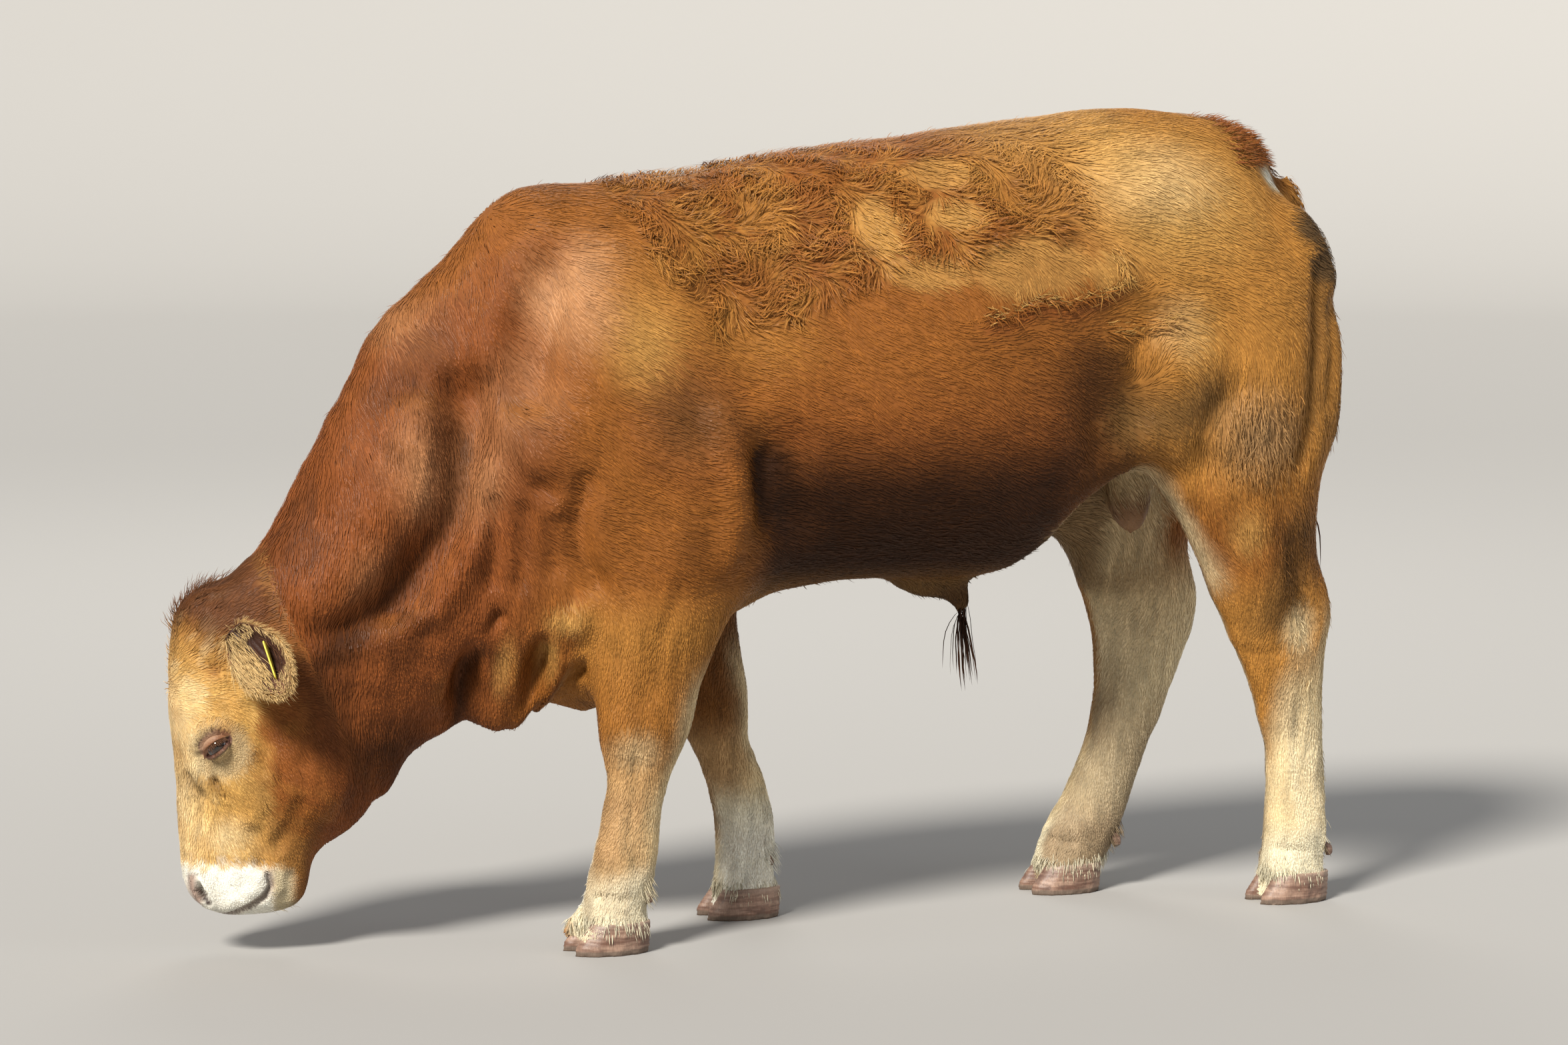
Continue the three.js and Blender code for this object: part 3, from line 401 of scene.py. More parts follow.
def under_lid(along):
    """Height of the crease under the lower lid."""
    return 0.001 - 0.0165 * np.sqrt(np.clip(1 - (along / (LID_LENGTH + 0.003)) ** 2, 0, 1))


def shape_lids(points, side):
    """Draws the skin over the eyeball as lids, with an opening, and creases above and below."""
    centre, look = eye_axes(side)[:2]
    a, b, depth = in_eye(points, side)
    upper, lower, crease = lid_curves(a)
    fold = under_lid(a)
    rim = np.hypot(a, b)
    near = ease(0.05, 0.03, rim) * (depth > -0.01)
    radius = np.full(len(points), EYE_RADIUS + LID_SHELL)
    radius += 0.0016 * bell(np.abs(b - (upper + crease) / 2), 0.01)
    radius += 0.0008 * bell(np.abs(b - (lower + fold) / 2), 0.006)
    inside = np.minimum(upper - b, b - lower)
    inside = np.where(np.abs(a) < LID_LENGTH, inside, -0.01)
    radius -= (0.0075 + LID_SHELL) * ease(-0.0004, 0.0016, inside)
    radius += 0.0009 * bell(np.abs(inside + 0.0016), 0.0024) * (np.abs(a) < LID_LENGTH + 0.003)
    radius -= 0.0042 * bell(np.abs(b - crease), 0.003) * (np.abs(a) < LID_LENGTH + 0.006)
    radius -= 0.003 * bell(np.abs(b - fold), 0.0026) * ease(-0.026, -0.012, a)
    target = centre + unit(points - centre) * radius[:, None]
    share = ease(0.0345, 0.025, np.hypot(a, (b - 0.004) * 1.05)) * (depth > 0.0)
    points = points + (target - points) * share[:, None]
    # The socket's rim stands a little proud, above the lids most of all.
    rim_height = 0.0045 * bell(np.abs(rim - 0.038), 0.014) * ease(-0.02, 0.02, b) * near
    return points + look * rim_height[:, None]


# -------- meshes
WELD = 1e-6                  # packed corners nearer than this are one


def new_object(name, data):
    thing = bpy.data.objects.new(name, data)
    bpy.context.scene.collection.objects.link(thing)
    return thing


def fetched(items, field, width, kind=np.float32):
    """One field of all items, as rows of so many numbers."""
    flat = np.empty(len(items) * width, kind)
    items.foreach_get(field, flat)
    return flat.reshape(-1, width)


def places(mesh):
    return fetched(mesh.vertices, "co", 3).astype(float)


def set_places(mesh, points):
    mesh.vertices.foreach_set("co", np.ascontiguousarray(points, np.float32).ravel())
    mesh.update()


def normals_of(mesh):
    return fetched(mesh.vertex_normals, "vector", 3).astype(float)


def edges_of(mesh):
    return fetched(mesh.edges, "vertices", 2, np.int32)


def relaxed(points, edges, strength, times):
    """Points drawn towards the mean of their neighbours, each by its own strength of 0 to 1."""
    count = np.bincount(edges.ravel(), minlength=len(points))[:, None]
    pull = np.broadcast_to(np.asarray(strength, float), (len(points),))[:, None]
    for _ in range(times):
        total = np.empty_like(points)
        for axis in range(3):
            column = points[:, axis]
            total[:, axis] = np.bincount(edges[:, 0], column[edges[:, 1]], len(points))
            total[:, axis] += np.bincount(edges[:, 1], column[edges[:, 0]], len(points))
        points = points + pull * (total / count - points)
    return points


def mesh_from(name, work):
    """A new mesh from an edited one, which is let go."""
    mesh = bpy.data.meshes.new(name)
    work.to_mesh(mesh)
    work.free()
    return mesh


def net_of(name, nodes, swell, voxel):
    """One closed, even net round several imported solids, each first pushed out by swell."""
    whole = bmesh.new()
    for node in nodes:
        solid = bmesh.new()
        solid.from_mesh(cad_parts[node].data)
        bmesh.ops.remove_doubles(solid, verts=solid.verts, dist=WELD)
        solid.normal_update()
        for vert in solid.verts:
            vert.co += vert.normal * swell
        copy = mesh_from("solid", solid)
        whole.from_mesh(copy)
        bpy.data.meshes.remove(copy)
    mesh = mesh_from(name, whole)
    source = new_object(f"{name}_source", mesh)
    remesh = source.modifiers.new("net", "REMESH")
    remesh.mode = "VOXEL"
    remesh.voxel_size = voxel
    depsgraph = bpy.context.evaluated_depsgraph_get()
    result = bpy.data.meshes.new_from_object(source.evaluated_get(depsgraph))
    result.name = name
    bpy.data.objects.remove(source)
    bpy.data.meshes.remove(mesh)
    return result


def softened_net(name, nodes, swell, voxel, times):
    """A net with its edges rounded off, and its places and normals."""
    mesh = net_of(name, nodes, swell, voxel)
    points = relaxed(places(mesh), edges_of(mesh), 0.5, times)
    set_places(mesh, points)
    return mesh, points, normals_of(mesh)


def finer_where(mesh, wanted):
    """Cuts each cell whose middle is wanted into four, and returns which points lie among them."""
    work = bmesh.new()
    work.from_mesh(mesh)
    centres = np.array([face.calc_center_median() for face in work.faces])
    chosen = wanted(centres)
    faces = [face for face, take in zip(work.faces, chosen) if take]
    edges = list({edge for face in faces for edge in face.edges})
    bmesh.ops.subdivide_edges(work, edges=edges, cuts=1, use_grid_fill=True)
    work.to_mesh(mesh)
    work.free()
    return wanted(places(mesh))


def set_attribute(mesh, name, values, kind="FLOAT"):
    attribute = mesh.attributes.new(name, kind, "POINT")
    field = {"FLOAT": "value", "FLOAT_COLOR": "color", "FLOAT_VECTOR": "vector"}[kind]
    if kind == "FLOAT_COLOR":
        values = np.concatenate([values, np.ones((len(values), 1))], axis=1)
    attribute.data.foreach_set(field, np.ascontiguousarray(values, np.float32).ravel())


def shade_smooth(mesh):
    mesh.polygons.foreach_set("use_smooth", np.ones(len(mesh.polygons), bool))


def finish_piece(piece, slot, material, replaced=()):
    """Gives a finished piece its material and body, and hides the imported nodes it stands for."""
    if not piece.data.polygons:
        raise RuntimeError(f"{piece.name} came out with no faces")
    piece.data.materials.clear()
    piece.data.materials.append(material)
    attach(piece, BODY)
    if replaced:
        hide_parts(*replaced)


# -------- the skin
def build_skin(sizes):
    """One skin over all the flesh, smooth and a coat's depth inside the solids, with finer cells on the feet,
    dewlap and face and round the eyes.
    """
    mesh = net_of("skin", FLESH + CLAWS + ("eye_left", "eye_right"), sizes.swell, sizes.voxel)
    points, edges = places(mesh), edges_of(mesh)
    head = head_share(points)
    low = ease(0.7, 0.55, points[:, 2])
    tail = ease(0.9, 0.93, points[:, 0]) * ease(0.05, 0.035, np.abs(points[:, 1]))
    dewlap = ease(0.6, 0.52, points[:, 2]) * ease(-0.76, -0.72, points[:, 0]) * (1 - head)
    foot = ease(0.15, 0.11, points[:, 2]) * (1 - head)
    thin = np.maximum.reduce([head, low * (points[:, 0] > -0.42), tail, dewlap])
    points = relaxed(points, edges, 0.75 * (1 - 0.8 * thin - 0.16 * np.maximum(foot, dewlap)), 34)
    set_places(mesh, points)
    depth = sizes.coat_depth * (1 - 0.45 * thin - 0.35 * dewlap) - 0.001
    depth = depth + 0.003 * ease(CORONET + 0.004, CORONET - 0.006, points[:, 2]) * (1 - head)
    set_places(mesh, points - normals_of(mesh) * depth[:, None])

    eyes = [eye_axes(side)[0] for _, side in SIDES]

    def near_eyes(reach):
        return lambda p: np.minimum.reduce([oval(p, eye, 1.0) for eye in eyes]) < reach

    def on_face(p):
        return head_share(p) > HEAD_FROM

    def fine_face(p):
        place = in_head(p)
        muzzle = (place[:, 1] < 0.165) & (place[:, 0] > -0.05)
        return on_face(p) & (muzzle | near_eyes(0.058)(p))

    def on_foot(p):
        return (p[:, 2] < 0.13) & (p[:, 0] > -0.5)

    def on_dewlap(p):
        return (p[:, 0] > -0.72) & (p[:, 0] < -0.36) & (p[:, 2] < 0.56) & (np.abs(p[:, 1]) < 0.15)

    finer = ((on_foot, 3), (on_dewlap, 2), (on_face, 6), (fine_face, 4), (near_eyes(0.034), 3))
    for wanted, times in finer:
        among = finer_where(mesh, wanted)
        set_places(mesh, relaxed(places(mesh), edges_of(mesh), 0.5 * among, times))
    return mesh


def raise_flank(points):
    """Draws the left flank up into the arch before the thigh, and leaves the scrotum hanging."""
    x, y, z = points.T
    rise = np.interp(x, *zip(*FLANK_ARCH)) * ease(1.02, 0.72, z) * ease(0.065, 0.01, y)
    hangs = ease(0.0, 0.5, mound(points, middle("scrotum") - (0.0, 0.0, 0.015), (0.055, 0.06, 0.06)))
    points[:, 2] += rise * (1 - hangs)
    return points


def tuck_tail(points):
    """Brings the lower tail in between the thighs."""
    x, y, z = points.T
    points[:, 0] -= 0.024 * ease(0.93, 0.95, x) * bell(y - 0.01, 0.05) * ease(1.05, 0.8, z)
    return points


def sculpt_skin(mesh):
    """Raises the muscles, folds, lobes and lids, and lets the dewlap hang."""
    set_places(mesh, tuck_tail(raise_flank(places(mesh))))
    points, normals = places(mesh), normals_of(mesh)
    push = trunk_form(points, normals) + head_form(points, normals)
    for leg in LEGS:
        push += leg_form(points, normals, leg)
    points = points + normals * push[:, None]
    hang = np.interp(points[:, 0], *zip(*DEWLAP_EDGE)) * ease(0.475, 0.4, points[:, 2])
    points[:, 2] += hang * ease(0.125, 0.095, np.abs(points[:, 1]))
    head = head_share(points)
    points = relaxed(points, edges_of(mesh), 0.35 * (1 - head), 2)
    for _, side in SIDES:
        points = shape_lids(points, side)
    set_places(mesh, points)


# -------- markings
def leg_share(points):
    """How much each place belongs to a leg below the body."""
    return ease(0.62, 0.5, points[:, 2]) * ease(-0.425, -0.4, points[:, 0]) * (1 - head_share(points))


def inner_share(points, normals):
    """1 on the inner faces of the legs."""
    return ease(0, 0.5, -np.sign(points[:, 1]) * normals[:, 1])


def flank_share(normals):
    """1 where the skin faces left or right."""
    return ease(0.1, 0.4, np.abs(normals[:, 1]))


def rough_back(points):
    """1 on the patch of rough, curly winter hair over the back and loin."""
    x, z = points[:, 0], points[:, 2]
    edge = np.interp(x, (-0.36, -0.32, -0.26, -0.2, -0.1, -0.02, 0.06, 0.2, 0.36, 0.46),
                     (1.2, 1.15, 1.07, 1.0, 1.01, 1.04, 1.075, 1.1, 1.12, 1.16))
    edge = edge + 0.012 * ripple(points, 0.05, 31)
    whole = product((-0.01, 0.018, z - edge), (-0.36, -0.3, x), (0.47, 0.38, x))
    return whole * (1 - 0.75 * ease(1.25, 1.3, z))


# Smooth lighter swirls left among the rough hair: middle, half width, half height.
SWIRLS = (((0.208, 1.242), 0.062, 0.026), ((0.214, 1.18), 0.045, 0.026), ((0.08, 1.16), 0.034, 0.05),
          ((0.33, 1.095), 0.115, 0.048), ((0.475, 1.085), 0.036, 0.036), ((0.15, 1.09), 0.07, 0.03))
# The path of painted shade in the hollow behind the elbow, which runs down into the dark belly.
ELBOW_SHADE = ((-0.12, 0.79), (-0.114, 0.75), (-0.1, 0.72), (-0.07, 0.695), (-0.02, 0.68), (0.06, 0.67))
# Paths of painted shade: the groove of the long fold down the side of the neck, and the hollow behind the
# jaw.
NECK_FOLD_SHADE = ((-0.804, 0.488), (-0.757, 0.517), (-0.709, 0.56), (-0.662, 0.61), (-0.627, 0.672),
             (-0.598, 0.722), (-0.592, 0.784), (-0.579, 0.833))
JAW_SHADOW = ((-0.835, 0.47), (-0.803, 0.39), (-0.765, 0.31), (-0.735, 0.25))


def swirl_share(points):
    """1 on the smooth swirls."""
    flat = points[:, (0, 2)]
    total = np.zeros(len(points))
    for centre, wide, high in SWIRLS:
        total = np.maximum(total, ease(1.15, 0.8, oval(flat, centre, (wide, high))))
    return total


# The line where the hair of the flank meets that of the loin and stands up in a ridge.
FLANK_RIDGE = ((0.244, 1.018), (0.29, 1.022), (0.335, 1.048), (0.393, 1.036), (0.448, 1.046), (0.494, 1.068))
THIGH_RIDGE = ((0.478, 0.992), (0.53, 0.978), (0.583, 0.998))
WHORL_RIDGE = ((0.494, 1.068), (0.5, 1.095), (0.486, 1.115))


class Paint:
    """Colours laid one over another on the places of a mesh."""

    def __init__(self, colours, first, points):
        self.colours, self.points = colours, points
        self.result = np.tile(np.array(first, float), (len(points), 1))

    def over(self, name, *shares):
        """Lays a colour over the rest, by the product of its shares."""
        share = np.clip(product(*shares), 0, 1.0)
        self.result = blend(self.result, getattr(self.colours, name), share)

    def patch(self, name, strength, centre, radii, share=1.0):
        """Lays on a soft patch."""
        self.over(name, strength, share, mound(self.points, centre, radii))


def paint_trunk(paint, points, normals):
    """Red ribs, a mahogany neck with painted sheen on its folds, a tan rump, a dark belly partly of painted
    shade, painted shade in hollows and behind the elbow, and painted highlights.
    """
    over, patch = paint.over, paint.patch
    x, y, z = points.T
    _, ny, up = normals.T
    side = points[:, (0, 2)]
    flanks = flank_share(normals)
    over("mahogany", (-0.4, -0.6, x + 0.05 * ripple(points, 0.2, 41)))
    patch("mahogany", 0.55, (-0.5, -0.2, 0.72), (0.14, 0.3, 0.22))
    over("tan", (0.4, 0.62, x + 0.1 * (z - 1.0)), (0.62, 0.8, z))
    # Lighter over the top of the back: partly the coat's colour, partly painted light from above.
    over("tan", 0.5, (1.16, 1.26, z), (0.25, 0.45, x))
    # Painted highlight on the shoulder.
    patch("tan", 0.6, (-0.3, -0.2, 1.04), (0.15, 0.3, 0.17))
    # Painted light on the up-facing top of the neck and withers.
    over("tan", 0.2, (0.2, 0.7, up), (-0.85, -0.6, x), (-0.15, -0.3, x))
    # Gold and cream high on the near side of rump and thigh: partly the coat's colour, partly painted
    # highlight.
    for row in (
            ("gold", 0.7, (0.58, -0.2, 1.2), (0.26, 0.34, 0.17)),
            ("cream", 0.3, (0.57, -0.2, 1.23), (0.17, 0.2, 0.1)),
            ("cream", 0.22, (0.595, -0.24, 0.99), (0.07, 0.2, 0.08))):
        patch(*row)
    over("umber", 0.3, (0.82, 0.9, x), (1.08, 1.0, z), (0.76, 0.84, z))
    # Gold on top of the loin and hips: partly the coat's colour, partly painted light from above.
    over("gold", 0.4, (1.19, 1.27, z), (0.18, 0.34, x), (0.6, 0.5, x))
    # Painted highlights on the near side of thigh, ribs and shoulder, partly the coat's golden colour.
    for row in (
            ("gold", 0.35, (0.62, -0.24, 0.98), (0.08, 0.2, 0.09)),
            ("tan", 0.45, (-0.13, -0.2, 0.99), (0.14, 0.3, 0.1)),
            ("gold", 0.42, (-0.33, -0.2, 0.98), (0.09, 0.3, 0.12))):
        patch(*row)
    folds = neck_folds(points)
    waves = 0.7 + 0.45 * folds
    # Painted shade in the valleys of the neck's folds.
    over("dark", 0.35, (-0.2, -0.9, folds), (-0.42, -0.56, x), (1.12, 1.0, z))
    # Painted sheen on the neck and shoulder, strongest on the crests of the folds.
    for row in (
            ("fawn", 0.95, (-0.63, -0.2, 0.8), (0.14, 0.25, 0.17)),
            ("fawn", 0.5, (-0.51, -0.2, 0.9), (0.08, 0.25, 0.14)),
            ("fawn", 0.45, (-0.72, -0.2, 0.62), (0.09, 0.25, 0.1)),
            ("fawn", 0.85, (-0.43, -0.2, 1.08), (0.12, 0.25, 0.15))):
        patch(*row, waves)
    over("red", 0.7, (0.3, 0.8, up), (-0.66, -0.5, x), (-0.22, -0.34, x))
    # Painted sheen along the crest of the neck.
    patch("fawn", 0.35, (-0.66, -0.1, 1.02), (0.1, 0.25, 0.1), waves)
    # Painted shade in the groove along the neck's long fold.
    over("dark", 0.6, beside(side, NECK_FOLD_SHADE, 0.03), 1 - head_share(points))
    # The lower barrel and belly darker towards the bottom: partly the coat's darker underside, partly painted
    # shade.
    over("mahogany", 0.6, (0.98, 0.8, z), (-0.16, -0.06, x), (0.46, 0.36, x))
    over("dark", 0.98, (0.87, 0.73, z), (-0.18, -0.08, x), (0.5, 0.36, x))
    # Painted shade in the hollow of the flank.
    hollow = ease(0.28, 0.45, x) * ease(0.54, 0.485, x + 0.25 * (z - 0.92))
    over("dark", 0.68, flanks, hollow, (1.0, 0.94, z), (0.66, 0.74, z))
    # Painted shade along the fold before the thigh.
    over("umber", 0.9, flanks, beside(side, ((0.65, 0.88), (0.59, 0.845), (0.52, 0.84)), 0.075))
    for _, way in SIDES:
        outer = ease(0, 0.5, way * ny)
        # Painted shadow on the upper arm, and painted shade round and in the hollow behind the elbow and
        # below the arm.
        patch("mahogany", 0.8, (-0.26, 0.24 * way, 0.86), (0.14, 0.1, 0.15))
        patch("umber", 0.5, (-0.26, 0.24 * way, 0.87), (0.12, 0.1, 0.12))
        elbow = reach_of(side, ELBOW_SHADE)[0]
        over("mahogany", 0.75, outer, bell(elbow, 0.11), (-0.15, -0.11, x), (0.8, 0.86, z))
        over("dark", 0.98, outer, (0, 0.8, bell(elbow, 0.056)), (0.88, 0.79, z))
        patch("dark", 0.35, (-0.255, 0.24 * way, 0.665), (0.05, 0.1, 0.09))
        patch("dark", 0.32, (-0.27, 0.24 * way, 0.88), (0.09, 0.1, 0.08))
    # Painted shadow under the jaw and the neck's first fold, painted shade on the throat and above the
    # brisket, and painted highlights on the brisket and the dewlap's front lobe.
    for row in (
            ("dark", 0.8, (-0.765, 0.02, 0.515), (0.085, 0.16, 0.055)),
            ("dark", 0.5, (-0.79, 0.02, 0.45), (0.07, 0.16, 0.09)),
            ("dark", 0.85, (-0.69, 0.02, 0.33), (0.12, 0.12, 0.09)),
            ("dark", 0.55, (-0.48, 0.02, 0.6), (0.08, 0.2, 0.025)),
            ("gold", 0.6, (-0.425, -0.14, 0.545), (0.055, 0.09, 0.04)),
            ("gold", 0.55, (-0.512, -0.1, 0.455), (0.026, 0.1, 0.085)),
            ("tan", 0.6, (-0.608, -0.1, 0.4), (0.034, 0.1, 0.085))):
        patch(*row)
    # Painted shade in the notch between the dewlap's lobes.
    over("dark", 0.7, beside(side, ((-0.562, 0.35), (-0.56, 0.42), (-0.548, 0.5)), 0.013))
    # Painted highlights on the dewlap's rear lobe.
    patch("gold", 0.65, (-0.445, -0.1, 0.475), (0.016, 0.08, 0.06))
    patch("tan", 0.5, (-0.492, -0.1, 0.45), (0.016, 0.08, 0.05))
    rough, swirls = rough_back(points), swirl_share(points)
    over("mahogany", 0.1, rough, 1 - 0.8 * swirls)
    over("tan", 0.7, rough, (-0.5, 0.6, ripple(points, 0.03, 42)))
    over("gold", 0.4, swirls, (-0.35, -0.2, x))
    # Painted shadow just below the standing ridge of hair.
    over("mahogany", 0.6, beside(side + (0, 0.02), FLANK_RIDGE, 0.022), flanks)
    over("grey", 0.6, mound(side, (0.755, 0.815), (0.125, 0.115)), (0.1, 0.5, np.abs(ny)))
    for _, way in SIDES:
        soot = np.maximum(mound(points, (0.872, 0.16 * way, 1.15), (0.06, 0.09, 0.055)),
                          mound(points, (0.892, 0.16 * way, 1.085), (0.055, 0.09, 0.07)))
        over("dirt", 0.85, (0, 0.6, soot * (1 + 0.4 * ripple(points, 0.03, 48))))
    # Painted shade in the crevice between the haunch and the tail, in the dirt colour.
    over("dirt", 0.35, beside(side, ((0.885, 1.06), (0.862, 0.84)), 0.022))
    over("cream", 0.75, (0, 0.6, mound(points, (0.842, -0.1, 1.236), (0.072, 0.08, 0.042))))
    over("white", 0.95, (0, 0.4, mound(points, (0.85, -0.095, 1.234), (0.048, 0.07, 0.026))))
    over("umber", 0.7, beside(side, ((0.862, 1.232), (0.882, 1.208)), 0.008), y < 0)
    over("mahogany", 0.5, (0.6, 0.78, x), (0.92, 0.89, x), z > 1.2, (0.05, 0.02, np.abs(y)))


def paint_legs(paint, points, normals):
    """Legs brown above and cream inside, behind and below, with the groin, scrotum and sheath, and painted
    shade on the inner legs, the gaskin and in the groin.
    """
    over, patch = paint.over, paint.patch
    x, y, z = points.T
    nx, ny, _ = normals.T
    leg = leg_share(points)
    fore = leg * (x < MIDRIFF)
    hind = leg * (x >= MIDRIFF)
    inside = inner_share(points, normals)
    front = np.clip(-nx, 0, 1)
    over("tan", leg)
    over("red", 0.55, fore, (0.25, 0.33, z), (0.6, 0.4, z))
    over("red", 0.7, fore, inside, (0.3, 0.42, z))
    # Partly the legs' own brown, partly painted shade on the inner side of the forelegs above the knee.
    over("dark", 0.5, fore, inside, (0.26, 0.36, z))
    over("cream", 0.85, fore, inside, (0.27, 0.2, z))
    over("cream", 0.8, hind, inside)
    over("cream", 0.85, fore, (0.1, 0.8, nx), (0.5, 0.4, z))
    over("cream", 0.95, hind, (0.46, 0.34, z + 0.14 * front))
    over("cream", 0.55, fore, (0.36, 0.22, z))
    over("cream", 0.8, hind, (0, 0.8, nx), (0.54, 0.46, z))
    over("pale", 0.45, hind, (0.38, 0.22, z), (0.6, -0.1, front), 1 - 0.5 * inside)
    over("pale", 0.3, hind, inside, (0.6, 0.4, z))
    # The outer side of the gaskin: partly its own umber and dark hair, partly painted shade.
    gaskin = reach_of(points[:, (0, 2)], ((0.85, 0.64), (0.838, 0.56), (0.81, 0.45)))[0]
    outside = ease(0, 0.4, np.sign(y) * ny)
    over("umber", 0.8, outside, (0.55, 0.62, x), bell(gaskin, 0.085), (0.44, 0.5, z))
    over("dark", 0.45, outside, bell(gaskin, 0.04), (0.46, 0.52, z))
    over("umber", 0.9, hind, inside, (0.49, 0.57, z), (0.05, 0.35, front))
    over("dark", 0.55, hind, inside, (0.5, 0.58, z), (0.25, 0.6, front))
    over("umber", 0.35, hind, inside, (0.22, 0.3, z), (0.44, 0.34, z), (0.1, 0.6, front))
    for row in (
            ("cream", 0.85, (0.862, -0.18, 0.474), (0.048, 0.06, 0.062)),
            ("gold", 0.5, (0.745, -0.21, 0.645), (0.055, 0.06, 0.07)),
            ("cream", 0.5, (-0.325, -0.17, 0.335), (0.06, 0.09, 0.05))):
        patch(*row)
    over("red", 0.45, fore, (0.3, 0.24, z), (0.1, 0.17, z), (0.4, -0.5, nx))
    over("umber", 0.22, leg, (0.3, 0.24, z), (-0.1, 0.6, ripple(points, 0.045, 49)))
    over("pale", 0.8, leg, (0.15, 0.09, z + 0.012 * ripple(points, 0.05, 43)))
    over("pale", 0.95, fore, inside, (0.24, 0.18, z))
    # Painted shade in grey on the inner side of the lower hind legs.
    over("grey", 0.55, hind, inside, (0.4, 0.28, z))
    over("grey", 0.75, hind, inside, (0.19, 0.1, z))
    patch("grey", 0.45, (0.852, -0.17, 0.335), (0.05, 0.06, 0.085))
    over("white", 0.8, fore, inside, (0.22, 0.12, z))
    over("grey", 0.3, fore, 1 - inside, (0.16, 0.1, z), (-0.3, 0.4, ripple(points, 0.03, 54)))
    groin = product((0.38, 0.46, x), (0.76, 0.7, x), (0.85, 0.8, z))
    groin = groin * ease(0.19, 0.14, np.abs(y))
    over("cream", 0.85, groin, (0.52, 0.58, z), (0.4, 0, ny))
    over("umber", 0.9, groin, (0.5, 0.56, z), (0.64, 0.6, x), y > 0.02)
    # Painted shade in grey over the groin.
    over("grey", 0.35, groin, (0.5, 0.56, z))
    pouch = mound(points, middle("scrotum") + (0, 0, -0.005), (0.055, 0.065, 0.075))
    over("brown_skin", 0.95, (0, 0.35, pouch))
    over("umber", (0, 0.4, mound(points, middle("sheath") + (0, 0, 0.01), (0.13, 0.08, 0.075))))
    over("dark", 0.7, mound(points, middle("sheath") + (0.03, 0, 0), (0.1, 0.08, 0.06)))


def paint_head(paint, points):
    """A golden face, a reddish cheek and crown, pale rings at the eyes and a white muzzle, with painted shade
    behind the jaw, under the brow, in the tear pits, nostrils and along the lip's edge.
    """
    over = paint.over
    head, face = in_head(points), head_share(points)
    flat, out = head[:, :2], np.abs(head[:, 2])
    ahead, high = flat.T
    over("gold", face, (-0.125, 0.045, ahead + 0.1 * (high - 0.35)))
    over("cream", face, 0.5, (0.07, 0.125, ahead), (0.48, 0.41, high))
    over("red", face, 0.85, (0.42, 0.56, high + 0.18 * (0.08 - ahead)))
    cheek = mound(head, (-0.038, 0.31, 0.06), (0.092, 0.135, 0.11))
    over("red", face, 0.85, cheek)
    over("umber", face, 0.75, cheek)
    jowl = oval(flat, (-0.07, 0.35), (0.078, 0.14)) + 0.12 * ripple(points, 0.022, 55)
    over("red", face, 0.9, (1.2, 0.75, jowl))
    over("mahogany", face, 0.6, (1.0, 0.6, jowl))
    over("tan", face, 0.25, (-0.1, 0.7, ripple(points, 0.03, 47)), (0.5, 0.44, high))
    over("cream", face, 0.3, (0.1, 0.8, ripple(points, 0.022, 50)), (0.04, 0.09, ahead))
    over("red", face, 0.65, mound(head, (0.078, 0.465, 0.09), (0.022, 0.024, 0.05)))
    # Painted shadow in the hollow behind the jaw.
    over("dark", 0.9, beside(points[:, (0, 2)], JAW_SHADOW, 0.042))
    over("poll", face, 0.9, (0.48, 0.55, high + 0.02 * ripple(points, 0.04, 44)))
    over("mahogany", face, 0.8, (-0.02, -0.12, ahead + 0.25 * (0.38 - high)))
    over("chin", face, 0.55, (0.058, 0.034, oval(flat, (0.066, 0.338), 1.0)), (0.02, 0.05, out))
    over("tan", face, 0.6, mound(flat, (0.06, 0.372), 0.026))
    over("cream", face, 0.45, mound(flat, (0.108, 0.312), 0.026))
    # Painted shade under the brow bulge.
    over("umber", face, 0.55, beside(flat, ((0.122, 0.292), (0.098, 0.27)), 0.024))
    over("cream", face, 0.28, mound(head, (0.155, 0.42, 0), (0.05, 0.09, 0.1)))
    over("gold", face, 0.2, beside(flat, ((-0.004, 0.345), (0, 0.25)), 0.024))
    # Painted shade in the tear pit.
    over("umber", face, 0.8, beside(flat, ((0.082, 0.294), (0.073, 0.272)), 0.013))
    over("cream", face, 0.55, mound(head, (0.06, 0.2, 0.06), (0.06, 0.05, 0.08)))
    over("red", face, 0.35, mound(flat, (-0.035, 0.2), 0.06))
    # Painted shade in the hollow at the corner of the cheek.
    over("brown_skin", face, 0.25, mound(flat, (0.008, 0.176), 0.02))
    muzzle_top = np.interp(ahead, (-0.06, -0.005, 0.04, 0.133), (0.136, 0.142, 0.15, 0.148))
    feather = 0.006 * ripple(points, 0.018, 45) + 0.005 * ripple(points, 0.006, 46)
    white = ease(0.016, -0.012, high - muzzle_top + feather)
    over("white", face, white, (-0.03, -0.004, ahead))
    over("chin", face, white, (-0.004, -0.02, ahead), (-0.055, -0.03, ahead))
    before = beside(flat, ((0.117, 0.128), (0.117, 0.11), (0.108, 0.09)), 0.014)
    over("nose", face, 0.85, before, (0.01, 0.022, out))
    over("nose", face, 0.5, mound(head, (0.125, 0.095, 0), (0.03, 0.035, 0.055)))
    away, down = reach_of(flat, NOSTRIL)
    # Painted shade inside the nostril.
    over("hollow", face, (0.008, 0.0035, away), (0.15, 0.5, down), (0.016, 0.026, out))
    over("nose", face, 0.6, beside(flat, LIP_EDGE, 0.009))
    # Painted shade along the edge of the upper lip.
    over("hollow", face, 0.55, beside(flat, LIP_EDGE, 0.004))


